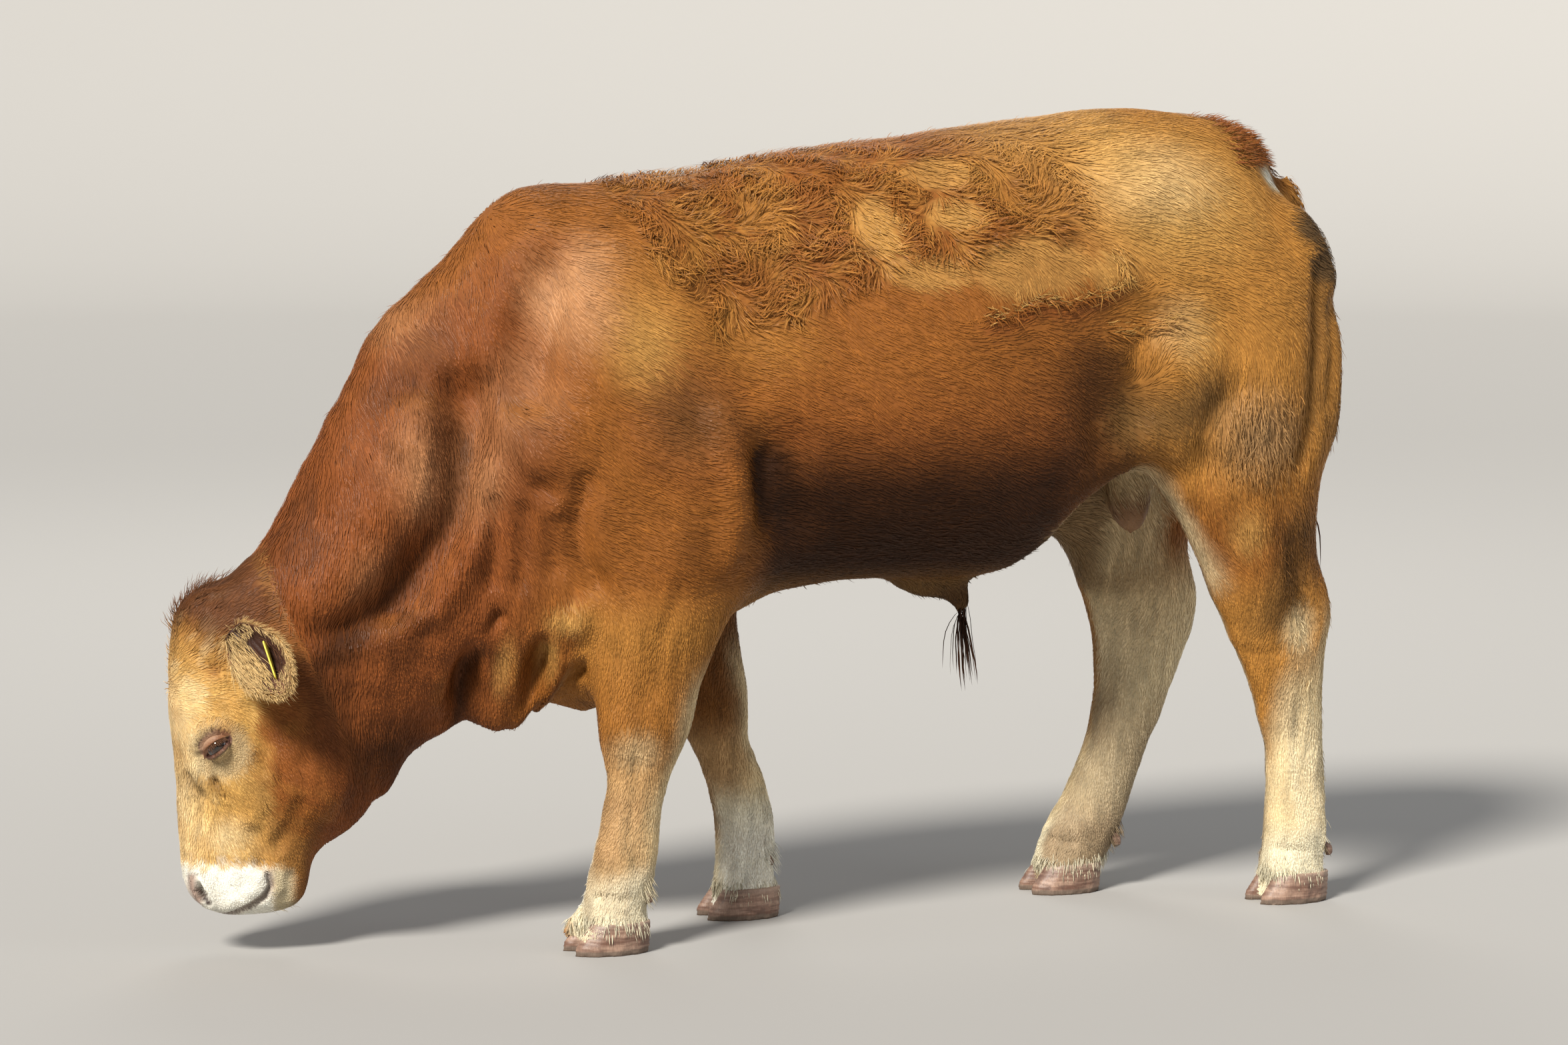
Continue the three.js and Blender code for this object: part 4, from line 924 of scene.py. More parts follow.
def paint_lids(paint, points):
    """Lids that are beige above, browner to the edge, and dark pinkish brown below, with painted shade in the
    creases, along the edges and in the opening.
    """
    over = paint.over
    for _, side in SIDES:
        a, b, depth = in_eye(points, side)
        upper, lower, crease = lid_curves(a)
        fold = under_lid(a)
        front = (depth > 0) * (np.abs(a) < LID_LENGTH + 0.004)
        band = ease(0.002, -0.001, b - crease) * ease(-0.001, 0.002, b - upper) * front
        fade = ease(0.1, 0.7, (b - upper) / np.maximum(crease - upper, 1e-4))
        over("lid_brown", band)
        over("lid", band, fade, (0.024, 0.008, a))
        under = ease(0.002, 0, b - lower) * ease(-0.0015, 0.0015, b - fold) * front
        over("lid_edge", under)
        over("lid", under, (0.3, 1.0, (lower - b) / np.maximum(lower - fold, 1e-4)), 0.55)
        # Painted shade in the crease over the upper lid and under the lower lid.
        over("hollow", bell(np.abs(b - crease), 0.0026), front, 0.75)
        over("hollow", bell(np.abs(b - fold), 0.002), front, 0.6)
        over("lid_corner", front, bell(np.hypot(a + 0.0225, b + 0.0015), 0.006))
        # Painted shade along the lids' edges and in the opening between them.
        edge = np.minimum(np.abs(b - upper), np.abs(b - lower)) + 0.01 * (np.abs(a) > LID_LENGTH)
        over("hollow", bell(edge, 0.0018), front, 0.8)
        over("hollow", (0, 0.001, np.minimum(upper - b, b - lower)), front)


def bare_share(points):
    """1 where the skin shows with hardly any hair: nose, nostrils, lids, scrotum, under the tail."""
    head = in_head(points)
    lids = np.zeros(len(points))
    for _, side in SIDES:
        a, b, depth = in_eye(points, side)
        band = ease(0.003, 0, b - lid_curves(a)[2]) * ease(-0.002, 0.0005, b - under_lid(a))
        lids = np.maximum(lids, band * (np.abs(a) < LID_LENGTH + 0.003) * (depth > 0))
    nose = ease(0.1, 0.5, mound(head, (0.118, 0.102, 0), (0.045, 0.05, 0.062)))
    nostril = ease(0.1, 0.6, beside(head[:, :2], NOSTRIL, 0.018))
    muzzle = 0.55 * ease(0.15, 0.135, head[:, 1]) * ease(-0.03, 0.01, head[:, 0])
    bare = head_share(points) * np.maximum.reduce([nose, nostril, muzzle])
    scrotum = ease(0.1, 0.5, mound(points, middle("scrotum"), (0.055, 0.065, 0.075)))
    under_tail = ease(0.1, 0.5, mound(points, (0.852, -0.09, 1.232), (0.036, 0.06, 0.02)))
    return np.clip(np.maximum.reduce([bare, lids, scrotum, under_tail]), 0, 1)


# -------- materials
class Number:
    """A value socket that takes part in sums, differences, products and quotients."""

    def __init__(self, maker, socket):
        self.maker, self.socket = maker, socket

    def _math(self, operation, first, second):
        node = self.maker.node("ShaderNodeMath", {"operation": operation}, {0: first, 1: second})
        return Number(self.maker, node.outputs[0])

    def __add__(self, other):
        return self._math("ADD", self, other)

    def __sub__(self, other):
        return self._math("SUBTRACT", self, other)

    def __rsub__(self, other):
        return self._math("SUBTRACT", other, self)

    def __mul__(self, other):
        return self._math("MULTIPLY", self, other)

    def __truediv__(self, other):
        return self._math("DIVIDE", self, other)

    __radd__, __rmul__ = __add__, __mul__

    def root(self):
        return self._math("SQRT", self, None)

    def step(self, low, high):
        """0 up to low and 1 from high on, with an easy slope between them."""
        node = self.maker.node("ShaderNodeMapRange", {"interpolation_type": "SMOOTHSTEP"},
                               {"Value": self, "From Min": low, "From Max": high})
        return Number(self.maker, node.outputs["Result"])


class Finish:
    """A material made from nodes."""

    def __init__(self, name, **constants):
        self.material = bpy.data.materials.new(name)
        self.material.use_nodes = True
        self.tree = self.material.node_tree
        self.shader = next(n for n in self.tree.nodes if n.type == "BSDF_PRINCIPLED")
        for socket, value in constants.items():
            self.shader.inputs[socket.replace("_", " ")].default_value = value

    def node(self, kind, settings, inputs):
        """Adds one node, sets it up first and then its sockets, with values or links."""
        node = self.tree.nodes.new(kind)
        for setting, value in settings.items():
            setattr(node, setting, value)
        for socket, value in inputs.items():
            self.feed(node.inputs[socket], value)
        return node

    def feed(self, socket, value):
        if isinstance(value, Number):
            value = value.socket
        if isinstance(value, bpy.types.NodeSocket):
            self.tree.links.new(value, socket)
        elif value is not None:
            socket.default_value = value

    def attribute(self, name, output="Color"):
        found = self.node("ShaderNodeAttribute", {"attribute_name": name}, {}).outputs[output]
        return Number(self, found) if output == "Fac" else found

    def place(self, scale=(1, 1, 1), rotation=(0, 0, 0)):
        """Object coordinates, turned and stretched."""
        coordinates = self.node("ShaderNodeTexCoord", {}, {}).outputs["Object"]
        inputs = {"Vector": coordinates, "Scale": scale, "Rotation": rotation}
        return self.node("ShaderNodeMapping", {}, inputs).outputs["Vector"]

    def noise(self, size, detail, rough, vector=None):
        """Noise of 0 to 1 whose lumps are about size across."""
        inputs = {"Vector": vector or self.place(), "Scale": 1.0 / size, "Detail": detail, "Roughness": rough}
        return Number(self, self.node("ShaderNodeTexNoise", {}, inputs).outputs["Fac"])

    def cells(self, size, feature="F1"):
        """Distance from the middles of cells about size across."""
        inputs = {"Vector": self.place(), "Scale": 1.0 / size}
        node = self.node("ShaderNodeTexVoronoi", {"feature": feature}, inputs)
        return Number(self, node.outputs["Distance"])

    def mix(self, share, first, second, how="MIX"):
        """A colour between first and second."""
        node = self.node("ShaderNodeMix", {"data_type": "RGBA", "blend_type": how}, {})
        for socket, value in zip((node.inputs[0], node.inputs[6], node.inputs[7]), (share, first, second)):
            self.feed(socket, (*value, 1.0) if isinstance(value, tuple) else value)
        return node.outputs[2]

    def bump(self, height, strength, distance):
        return self.node("ShaderNodeBump", {}, {"Height": height, "Strength": strength,
                                                "Distance": distance}).outputs["Normal"]

    def surface(self, **links):
        """Links what changes over the surface to the shader."""
        for socket, value in links.items():
            self.feed(self.shader.inputs[socket.replace("_", " ")], value)
        return self.material


def skin_finish():
    """Short flat hair over skin, and bare, pebbled skin where the attribute Bare says so."""
    skin = Finish("short coat on skin", Specular_IOR_Level=0.18)
    bare = skin.attribute("Bare", "Fac")
    coat = skin.attribute("Coat")
    streaks = skin.noise(0.004, 3.0, 0.6, skin.place(scale=(0.32, 1.0, 0.55), rotation=(0, 0.5, 0)))
    patches = skin.noise(0.035, 4.0, 0.55)
    specks = skin.cells(0.0065)
    shade = skin.mix(streaks.step(0.3, 0.7), (0.8, 0.77, 0.74), (1.03, 1.03, 1.03))
    coloured = skin.mix(1.0, coat, shade, "MULTIPLY")
    tone = skin.mix(patches.step(0.3, 0.7), (0.86, 0.84, 0.82), (1.1, 1.1, 1.08))
    coloured = skin.mix(1.0, coloured, tone, "MULTIPLY")
    speckled = skin.mix(specks.step(0.16, 0.02) * patches.step(0.48, 0.62) * 0.75, coat, (0.18, 0.15, 0.15))
    speckled = skin.mix(1.0, speckled, tone, "MULTIPLY")
    pebbles = skin.cells(0.0032, feature="SMOOTH_F1").step(0.0, 0.6)
    height = (1 - bare) * (streaks * 0.8 + patches * 0.3) + bare * (pebbles * 0.5 + patches * 0.3)
    return skin.surface(
        Base_Color=skin.mix(bare, coloured, speckled),
        Roughness=0.72 - bare * 0.24,
        Normal=skin.bump(height, 0.55, 0.0016))


def hair_finish(name, gloss):
    """Locks of hair, coloured lock by lock by the attribute Coat."""
    hair = Finish(name, Specular_IOR_Level=gloss)
    strands = hair.noise(0.0018, 2.0, 0.6, hair.place(scale=(0.5, 1.0, 0.5)))
    shade = hair.mix(strands.step(0.3, 0.72), (0.9,) * 3, (1.06,) * 3)
    return hair.surface(
        Base_Color=hair.mix(1.0, hair.attribute("Coat"), shade, "MULTIPLY"),
        Roughness=0.52 - strands.step(0.35, 0.75) * 0.14)


def eye_finish():
    """A wet, nearly black eye: brown iris, level pupil and a dull pinkish brown white."""
    eye = Finish("eye", Roughness=0.06, Coat_Weight=1.0, Coat_Roughness=0.02, Specular_IOR_Level=0.6)
    gaze = eye.node("ShaderNodeSeparateXYZ", {}, {"Vector": eye.attribute("Gaze", "Vector")}).outputs
    level, upright = Number(eye, gaze["X"]), Number(eye, gaze["Y"])

    def spread(a, b):
        return (a * a + b * b).root()

    out = spread(level, upright)
    pupil = spread(level / 0.34, upright / 0.17)
    rays = eye.noise(0.0012, 3.0, 0.6)
    iris = eye.mix(rays, (0.016, 0.0065, 0.0025), (0.06, 0.024, 0.009))
    colour = eye.mix(pupil.step(1.1, 0.94), iris, (0.0012, 0.0012, 0.0018))
    colour = eye.mix(out.step(0.56, 0.64), colour, (0.01, 0.006, 0.005))
    veins = eye.noise(0.004, 3.0, 0.6)
    white = eye.mix(veins.step(0.45, 0.62), (0.16, 0.09, 0.07), (0.085, 0.035, 0.026))
    return eye.surface(Base_Color=eye.mix(out.step(0.7, 0.8), colour, white))


def horn_finish():
    """Hoof horn: pinkish brown with paler growth rings, fine cracks and dried mud at the edge."""
    horn = Finish("hoof horn", Specular_IOR_Level=0.45, Coat_Roughness=0.35)
    rings = horn.noise(0.012, 3.0, 0.55, horn.place(scale=(0.16, 0.16, 1.6), rotation=(0, 0.2, 0)))
    fibres = horn.noise(0.0022, 3.0, 0.6, horn.place(scale=(1.0, 1.0, 0.1)))
    mottle = horn.noise(0.02, 4.0, 0.6)
    height = horn.attribute("Horn", "Fac")
    colour = horn.mix(rings.step(0.34, 0.66), (0.165, 0.085, 0.058), (0.4, 0.26, 0.19))
    colour = horn.mix(mottle.step(0.5, 0.7) * 0.6, colour, (0.1, 0.06, 0.048))
    colour = horn.mix(height.step(0.7, 1.0) * 0.6, colour, (0.46, 0.34, 0.26))
    mud = (height.step(0.3, 0.02) + mottle * 0.5 - 0.2).step(0.3, 0.75)
    colour = horn.mix(mud * 0.75, colour, (0.16, 0.125, 0.095))
    return horn.surface(
        Base_Color=horn.mix(fibres.step(0.6, 0.4) * 0.25, colour, (0.07, 0.04, 0.03)),
        Roughness=0.42 + mud * 0.34 + fibres * 0.1,
        Normal=horn.bump(rings * 0.8 + fibres * 0.35, 0.5, 0.0015))


def tag_finish(colours):
    """Soft yellow plastic, scuffed and a little dirty."""
    tag = Finish("ear tag plastic", Specular_IOR_Level=0.45)
    dirt = tag.noise(0.012, 4.0, 0.6)
    scuffs = tag.noise(0.0022, 3.0, 0.6)
    colour = tag.mix(dirt.step(0.52, 0.72) * 0.5, tuple(colours.tag), (0.22, 0.17, 0.07))
    return tag.surface(Base_Color=colour, Roughness=0.36 + dirt * 0.25,
                       Normal=tag.bump(scuffs, 0.15, 0.0006))


def floor_finish(colours):
    """A plain, pale, matt studio floor."""
    floor = Finish("pale studio floor", Specular_IOR_Level=0.15, Roughness=0.9)
    floor.feed(floor.shader.inputs["Base Color"], (*colours.floor, 1.0))
    return floor.material


# -------- eyes, ears, feet and tag
def build_eye(side):
    """An eyeball with its pole on the line of sight and a low dome of clear cornea."""
    centre, look, _, _ = eye_axes(side)
    ball = bmesh.new()
    bmesh.ops.create_uvsphere(ball, u_segments=48, v_segments=36, radius=EYE_RADIUS - 0.0004)
    for vert in ball.verts:
        vert.co *= 1.0 + 0.05 * float(ease(0.78, 0.98, vert.co.z / EYE_RADIUS))
    mesh = bpy.data.meshes.new("eyeball")
    ball.to_mesh(mesh)
    gaze = places(mesh) / EYE_RADIUS
    level = unit(HEAD_FORWARD - (HEAD_FORWARD @ look) * look)
    turn = np.stack([level, np.cross(look, level), look], axis=1)
    pose = Matrix.Translation(centre) @ Matrix(turn.tolist()).to_4x4()
    bmesh.ops.transform(ball, matrix=pose, verts=ball.verts)
    ball.to_mesh(mesh)
    ball.free()
    set_attribute(mesh, "Gaze", gaze, "FLOAT_VECTOR")
    shade_smooth(mesh)
    return mesh


# Of an ear, ahead, up and outwards: its root, its tip and the way its hollow faces.
EAR_ROOT, EAR_TIP, EAR_HOLLOW = np.array(((0.032, 0.523, 0.104), (-0.047, 0.45, 0.206), (0.59, 0.53, 0.585)))


def ear_frame(side):
    """The root and tip of an ear, and the unit directions along, across and out of its hollow."""
    root, tip, hollow = (place * (1, 1, -side) @ HEAD_AXES for place in (EAR_ROOT, EAR_TIP, EAR_HOLLOW))
    root, tip = HEAD_FOOT + root, HEAD_FOOT + tip
    along = unit(tip - root)
    across = unit(np.cross(along, hollow))
    return root, tip, along, across, unit(np.cross(across, along))


def on_ear(points, side):
    """Places on an ear: share of its length, way across, half its width and share of that."""
    root, tip, along, across, _ = ear_frame(side)
    u = (points - root) @ along / np.linalg.norm(tip - root)
    v = (points - root) @ across
    half = 0.01 + 0.045 * np.sin(math.pi * np.clip(u * 0.86 + 0.12, 0, 1)) ** 0.8
    return u, v, half, np.abs(v) / np.maximum(half * 0.86, 0.004)


def build_ear(name, side, colours):
    """An ear from its solid: reddish outside, ridged and pinkish grey inside with painted shade in its
    hollow, gold at the rim.
    """
    mesh, points, normals = softened_net(f"ear_{name}", (f"ear_{name}",), 0.0002, 0.0025, 5)
    u, v, _, edge = on_ear(points, side)
    inside = ease(0.05, 0.45, normals @ ear_frame(side)[4])
    ridges = np.sin(v * 620 + 2.0 * ripple(points, 0.05, 51)) * ease(0.85, 0.4, edge) * inside
    ridges = 0.001 * ridges * ease(0.1, 0.3, u) * ease(0.95, 0.6, u)
    set_places(mesh, points + normals * ridges[:, None])
    paint = Paint(colours, np.array(colours.red) * 0.9, points)
    paint.over("gold", 0.6, (0.3, 0.9, edge))
    paint.over("ear_skin", inside, (1.15, 0.75, edge))
    # Painted shade in the ear's hollow.
    paint.over("hollow", 0.9, inside, (0.95, 0.65, u), (1.0, 0.6, edge))
    paint.over("gold", (0.85, 1.05, edge), 0.8)
    set_attribute(mesh, "Coat", paint.result, "FLOAT_COLOR")
    set_attribute(mesh, "Bare", 0.8 * inside * ease(1.1, 0.8, edge))
    shade_smooth(mesh)
    return mesh


DEWCLAW_SHIFT = 0.011        # how far the dewclaws move forward, to meet the leg


def build_feet(leg):
    """The two claws and two dewclaws of a leg, rounded, ringed and flat underneath."""
    nodes = [f"{leg}_{part}_{place}" for part in ("claw", "dewclaw") for place in PLACES]
    mesh, points, normals = softened_net(f"hooves_{leg}", nodes, 0.0, 0.0032, 3)
    foot = foot_middle(leg)
    points[:, 0] -= DEWCLAW_SHIFT * (points[:, 2] > CLAW_TOP)
    slope = points[:, 2] + 0.22 * (points[:, 0] - foot[0]) + 0.0012 * ripple(points, 0.05, 52)
    wall = ease(0.7, 0.3, np.abs(normals[:, 2])) * (points[:, 2] < CLAW_TOP)
    rings = np.sin(slope * 820) + 0.5 * np.sin(slope * 1530 + 1.0)
    points = points + normals * (0.00055 * rings * wall)[:, None]
    z = np.where(points[:, 2] < 0.002, 0.0, points[:, 2])
    points[:, 2] = z
    set_places(mesh, points)
    high = np.where(z < CLAW_TOP, z / CORONET, (z - 0.072) / 0.036)
    set_attribute(mesh, "Horn", np.clip(high, 0, 1))
    shade_smooth(mesh)
    return mesh, nodes


def build_tag():
    """The plain ear tag: a thin plate with rounded edges."""
    tag = bmesh.new()
    tag.from_mesh(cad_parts["ear_tag"].data)
    bmesh.ops.remove_doubles(tag, verts=tag.verts, dist=WELD)
    bmesh.ops.dissolve_limit(tag, angle_limit=math.radians(2), verts=tag.verts, edges=tag.edges)
    sharp = [edge for edge in tag.edges if edge.calc_face_angle(0) > math.radians(40)]
    bmesh.ops.bevel(tag, geom=sharp, offset=0.0008, offset_type="OFFSET", affect="EDGES", segments=2,
                    profile=0.5, material=-1)
    return mesh_from("ear_tag_plate", tag)


# -------- the coat
def unwrap(piece):
    """Lays the piece's own shape flat in the map OFBake."""
    piece.data.uv_layers.new(name="OFBake")
    bpy.context.view_layer.objects.active = piece
    piece.select_set(True)
    bpy.ops.object.mode_set(mode="EDIT")
    bpy.ops.mesh.select_all(action="SELECT")
    bpy.ops.uv.smart_project(angle_limit=math.radians(70), island_margin=0.002)
    bpy.ops.object.mode_set(mode="OBJECT")
    piece.select_set(False)


class Pelt:
    """The finished skin as triangles that hair can grow from."""

    def __init__(self, mesh):
        mesh.calc_loop_triangles()
        corners = fetched(mesh.loop_triangles, "vertices", 3, np.int32)
        loops = fetched(mesh.loop_triangles, "loops", 3, np.int32)
        self.points = places(mesh)[corners]
        self.normals = normals_of(mesh)[corners]
        self.homes = fetched(mesh.uv_layers["OFBake"].uv, "vector", 2)[loops]
        self.paint = fetched(mesh.attributes["Coat"].data, "color", 4)[corners][:, :, :3]
        self.bare = fetched(mesh.attributes["Bare"].data, "value", 1)[corners][:, :, 0]
        sides = self.points[:, 1:] - self.points[:, :1]
        square = np.cross(sides[:, 0], sides[:, 1])
        self.area = np.linalg.norm(square, axis=1) / 2
        self.facing = unit(square)
        self.middles = self.points.mean(axis=1)
        self.tree = BVHTree.FromPolygons(places(mesh).tolist(), corners.tolist())

    def draped(self, points, heights):
        """The points brought to their heights above the nearest skin."""
        laid = np.empty_like(points)
        for k, (point, height) in enumerate(zip(points.tolist(), heights.tolist())):
            near, normal, _, _ = self.tree.find_nearest(point)
            laid[k] = near + normal * height
        return laid

    def roots(self, density, rng):
        """Scattered places on the skin, so many to the square metre of each triangle."""
        wanted = self.area * density
        number = np.floor(wanted + rng.random(len(wanted))).astype(int)
        chosen = np.repeat(np.arange(len(wanted)), number)
        a, b = rng.random(len(chosen)), rng.random(len(chosen))
        over = a + b > 1
        a[over], b[over] = 1 - a[over], 1 - b[over]
        share = np.stack([1 - a - b, a, b], axis=1)[:, :, None]
        bare = (self.bare[chosen] * share[:, :, 0]).sum(axis=1)
        kept = rng.random(len(chosen)) > bare ** 1.5
        chosen, share = chosen[kept], share[kept]
        return Roots(*((part[chosen] * share).sum(axis=1) for part in
                       (self.points, self.normals, self.homes, self.paint)))


class Roots:
    """Where hairs start: places, skin normals, places on the unwrap, and colours."""

    def __init__(self, points, normals, homes, paint):
        self.points, self.normals, self.homes, self.paint = points, unit(normals), homes, paint

    def take(self, which):
        return Roots(self.points[which], self.normals[which], self.homes[which], self.paint[which])

    def __len__(self):
        return len(self.points)


def mesh_of(name, points, triangles, smooth_faces):
    """A mesh of many small closed shapes."""
    mesh = bpy.data.meshes.new(name)
    mesh.vertices.add(len(points))
    mesh.loops.add(triangles.size)
    mesh.polygons.add(len(triangles))
    mesh.vertices.foreach_set("co", points.astype(np.float32).ravel())
    mesh.loops.foreach_set("vertex_index", triangles.astype(np.int32).ravel())
    mesh.polygons.foreach_set("loop_start", np.arange(0, triangles.size, 3, dtype=np.int32))
    mesh.update(calc_edges=True)
    if smooth_faces:
        shade_smooth(mesh)
    else:
        mesh.shade_flat()
    return mesh


def lock_triangles(rings):
    """The triangles of one lock: a root, rings of left, right and top, and a tip."""
    tip = 1 + 3 * rings
    faces = [(0, 1 + (k + 1) % 3, 1 + k) for k in range(3)]
    for ring in range(rings - 1):
        for k in range(3):
            a, b = 1 + 3 * ring + k, 1 + 3 * ring + (k + 1) % 3
            faces += [(a, b, b + 3), (a, b + 3, a + 3)]
    last = 1 + 3 * (rings - 1)
    faces += [(last + k, last + (k + 1) % 3, tip) for k in range(3)]
    return np.array(faces)


ROOT_DEPTH = 0.001           # how deep in the skin a lock starts
LOWEST_HAIR = 0.001          # height over the floor
HOME_WIDTH, HOME_MARGIN = 0.003, 0.0018    # of a lock's patch on the unwrap, and of the map's edge


def grow_locks(name, spines, width, ups, roots, shades):
    """Flattened, pointed, closed locks along spines of (lock, station, xyz), with tinted ends.

    The shortest, of three stations, are flatter and keep their flat faces, so the coat looks sleek.
    Each lock has its own width, up direction and shades (lock, station) of its root's colour.
    """
    count, stations = spines.shape[:2]
    rings = stations - 2
    forward = unit(spines[:, 2:] - spines[:, :-2])
    side = unit(np.cross(forward, ups[:, None, :]))
    top = unit(np.cross(side, forward))
    along = np.linspace(0, 1, stations)[1:-1]
    taper = (np.sin(math.pi * along ** 0.75) ** 0.6 if rings > 1 else np.ones(1))[None, :, None]
    half = width[:, None, None] / 2 * taper
    middle_line = spines[:, 1:-1]
    ring = np.stack([middle_line + side * half, middle_line - side * half,
                     middle_line + top * half * (0.75 if rings > 1 else 0.22)], axis=2)
    points = np.concatenate([spines[:, :1], ring.reshape(count, -1, 3), spines[:, -1:]], axis=1)
    points[:, :, 2] = np.maximum(points[:, :, 2], LOWEST_HAIR)
    each = points.shape[1]
    faces = lock_triangles(rings)
    triangles = (faces[None] + each * np.arange(count)[:, None, None]).reshape(-1, 3)
    mesh = mesh_of(name, points.reshape(-1, 3), triangles, rings > 1)
    station = np.concatenate([[0], np.repeat(np.arange(1, rings + 1), 3), [stations - 1]])
    paint = roots.paint[:, None, :] * shades[:, station, None]
    set_attribute(mesh, "Coat", np.clip(paint, 0, 1).reshape(-1, 3), "FLOAT_COLOR")
    place = np.stack([np.concatenate([[0.5], np.tile((0.0, 1.0, 0.5), rings), [0.5]]),
                      station / (stations - 1.0)], axis=1) - 0.5
    patch = np.clip(roots.homes[:, None, :], HOME_MARGIN, 1 - HOME_MARGIN) + HOME_WIDTH * place
    layer = mesh.uv_layers.new(name="OFBake")
    layer.uv.foreach_set("vector", patch.reshape(-1, 2)[triangles.ravel()].astype(np.float32).ravel())
    return new_object(name, mesh)


def turned(vectors, axes, angles):
    """Unit vectors turned about unit axes that they stand square to."""
    return vectors * np.cos(angles)[:, None] + np.cross(axes, vectors) * np.sin(angles)[:, None]


WHORL = (0.158, 0.43, 0.0)   # on the forehead, in the head's frame


def curls(points, _=None):
    """1 on the rough hair between its smooth swirls."""
    return rough_back(points) * (1 - swirl_share(points))


def lie_of(points, normals):
    """The way the hair lies along the skin at each place."""
    x, _, z = points.T
    head = in_head(points)
    face = head_share(points)
    lie = np.tile((0.85, 0, -0.45), (len(points), 1))

    def comb(direction, *shares):
        nonlocal lie
        lie = blend(lie, direction, np.clip(product(*shares), 0, 1))

    comb((0.85, 0, -0.1), (1.2, 1.3, z))
    comb((0.45, 0, -0.9), (-0.42, -0.6, x))
    comb((0.1, 0, -1.0), (-0.36, -0.42, x), (0.66, 0.56, z))
    comb((0.95, 0, -0.1), (0.66, 0.6, z), (-0.1, 0, x), (0.5, 0.4, x))
    comb((0.75, 0, -0.6), (0.52, 0.7, x), (0.9, 1.1, z))
    comb((0.3, 0, -0.95), (0.56, 0.66, x), (1.06, 0.92, z))
    side = points[:, (0, 2)]
    above = ease(-0.01, 0.01, z - np.interp(x, *zip(*FLANK_RIDGE)))
    near = beside(side, FLANK_RIDGE, 0.1) * ease(0.1, 0.3, np.abs(normals[:, 1]))
    comb((0.25, 0, -0.95), near, above)
    comb((0.95, 0, 0.25), near, 1 - above)
    comb((-0.1, 0, 1.0), mound(side, (0.535, 0.93), (0.07, 0.08)), 0.9)
    comb((0.08, 0, -1.0), leg_share(points))
    ahead, high, _ = head.T
    comb((head - WHORL) @ HEAD_AXES * 8, face)
    comb((0.1, -1.0, 0) @ HEAD_AXES, face, (0.4, 0.3, high))
    comb((-0.62, -0.78, 0) @ HEAD_AXES, face, (0.11, 0.05, ahead), (0.44, 0.38, high))
    comb((-0.8, -0.45, 0) @ HEAD_AXES, face, (0.15, 0.12, high), (0.06, 0, ahead))
    for _, way in SIDES:
        a, b, depth = in_eye(points, way)
        centre, _, along, _ = eye_axes(way)
        share = face * ease(0.06, 0.034, np.hypot(a, b)) * (depth > 0)
        comb(unit(points - centre) + 0.55 * along, share)
    lie = lie - (lie * normals).sum(axis=1, keepdims=True) * normals
    wave = 0.22 * ripple(points, 0.16, 61) + 0.13 * ripple(points, 0.045, 62)
    wave = wave + 0.13 * ripple(points, 0.013, 64)
    wave = wave * (1 - 0.6 * face) + curls(points) * 1.5 * ripple(points, 0.032, 63)
    return turned(unit(lie), normals, wave)


def roughness_of(points, normals):
    """How much the hair stands up and curls: on the back, the thigh, the tail head and the hair ridges."""
    x, y, z = points.T
    flat = points[:, (0, 2)]
    flank = flank_share(normals)
    ridges = [0.9 * beside(flat, path, 0.02) * flank for path in (FLANK_RIDGE, THIGH_RIDGE, WHORL_RIDGE)]
    return np.maximum.reduce([
        0.9 * rough_back(points) * (1 - 0.85 * swirl_share(points)),
        0.75 * mound(flat, (0.765, 0.81), (0.125, 0.12)) * flank,
        0.6 * ease(0.66, 0.76, x) * bell(np.abs(y), 0.04) * ease(1.1, 1.2, z),
        0.6 * mound(points, (0.905, -0.13, 1.115), (0.06, 0.09, 0.085))] + ridges)


def coat_regions(points):
    """The short coat's pieces: name, slot and where each grows."""
    x, y, z = points.T
    head = head_share(points) > HEAD_FROM
    muzzle = head & (in_head(points)[:, 1] < 0.24)
    low = (z < 0.6) & (x > -0.41) & ~head
    neck = (x < -0.36) & ~head & ~low
    rest = ~(head | low | neck)
    regions = [("muzzle", "tan", muzzle), ("brow", "tan", head & ~muzzle),
               ("neck_left", "red", neck & (y < 0)), ("neck_right", "red", neck & (y >= 0)),
               ("shoulders", "red", rest & (x < -0.05)),
               ("ribs", "red", rest & (x >= -0.05) & (x < 0.24)),
               ("loin", "red", rest & (x >= 0.24) & (x < 0.52))]
    for part, where in (("rump", rest & (x >= 0.52)), ("foreleg", low & (x < MIDRIFF)),
                        ("hindleg", low & (x >= MIDRIFF))):
        regions += [(f"{part}_left", "tan", where & (y < 0)), (f"{part}_right", "tan", where & (y >= 0))]
    return [(f"coat_{name}", f"{slot}_coat", where) for name, slot, where in regions]


def streaks_of(points, lie):
    """Fine light and dark streaks that run the way the hair lies."""
    level = ripple(points * (0.25, 1.0, 1.0), 0.01, 71)
    upright = ripple(points * (1.0, 1.0, 0.25), 0.01, 72)
    return level + (upright - level) * np.abs(lie[:, 2])


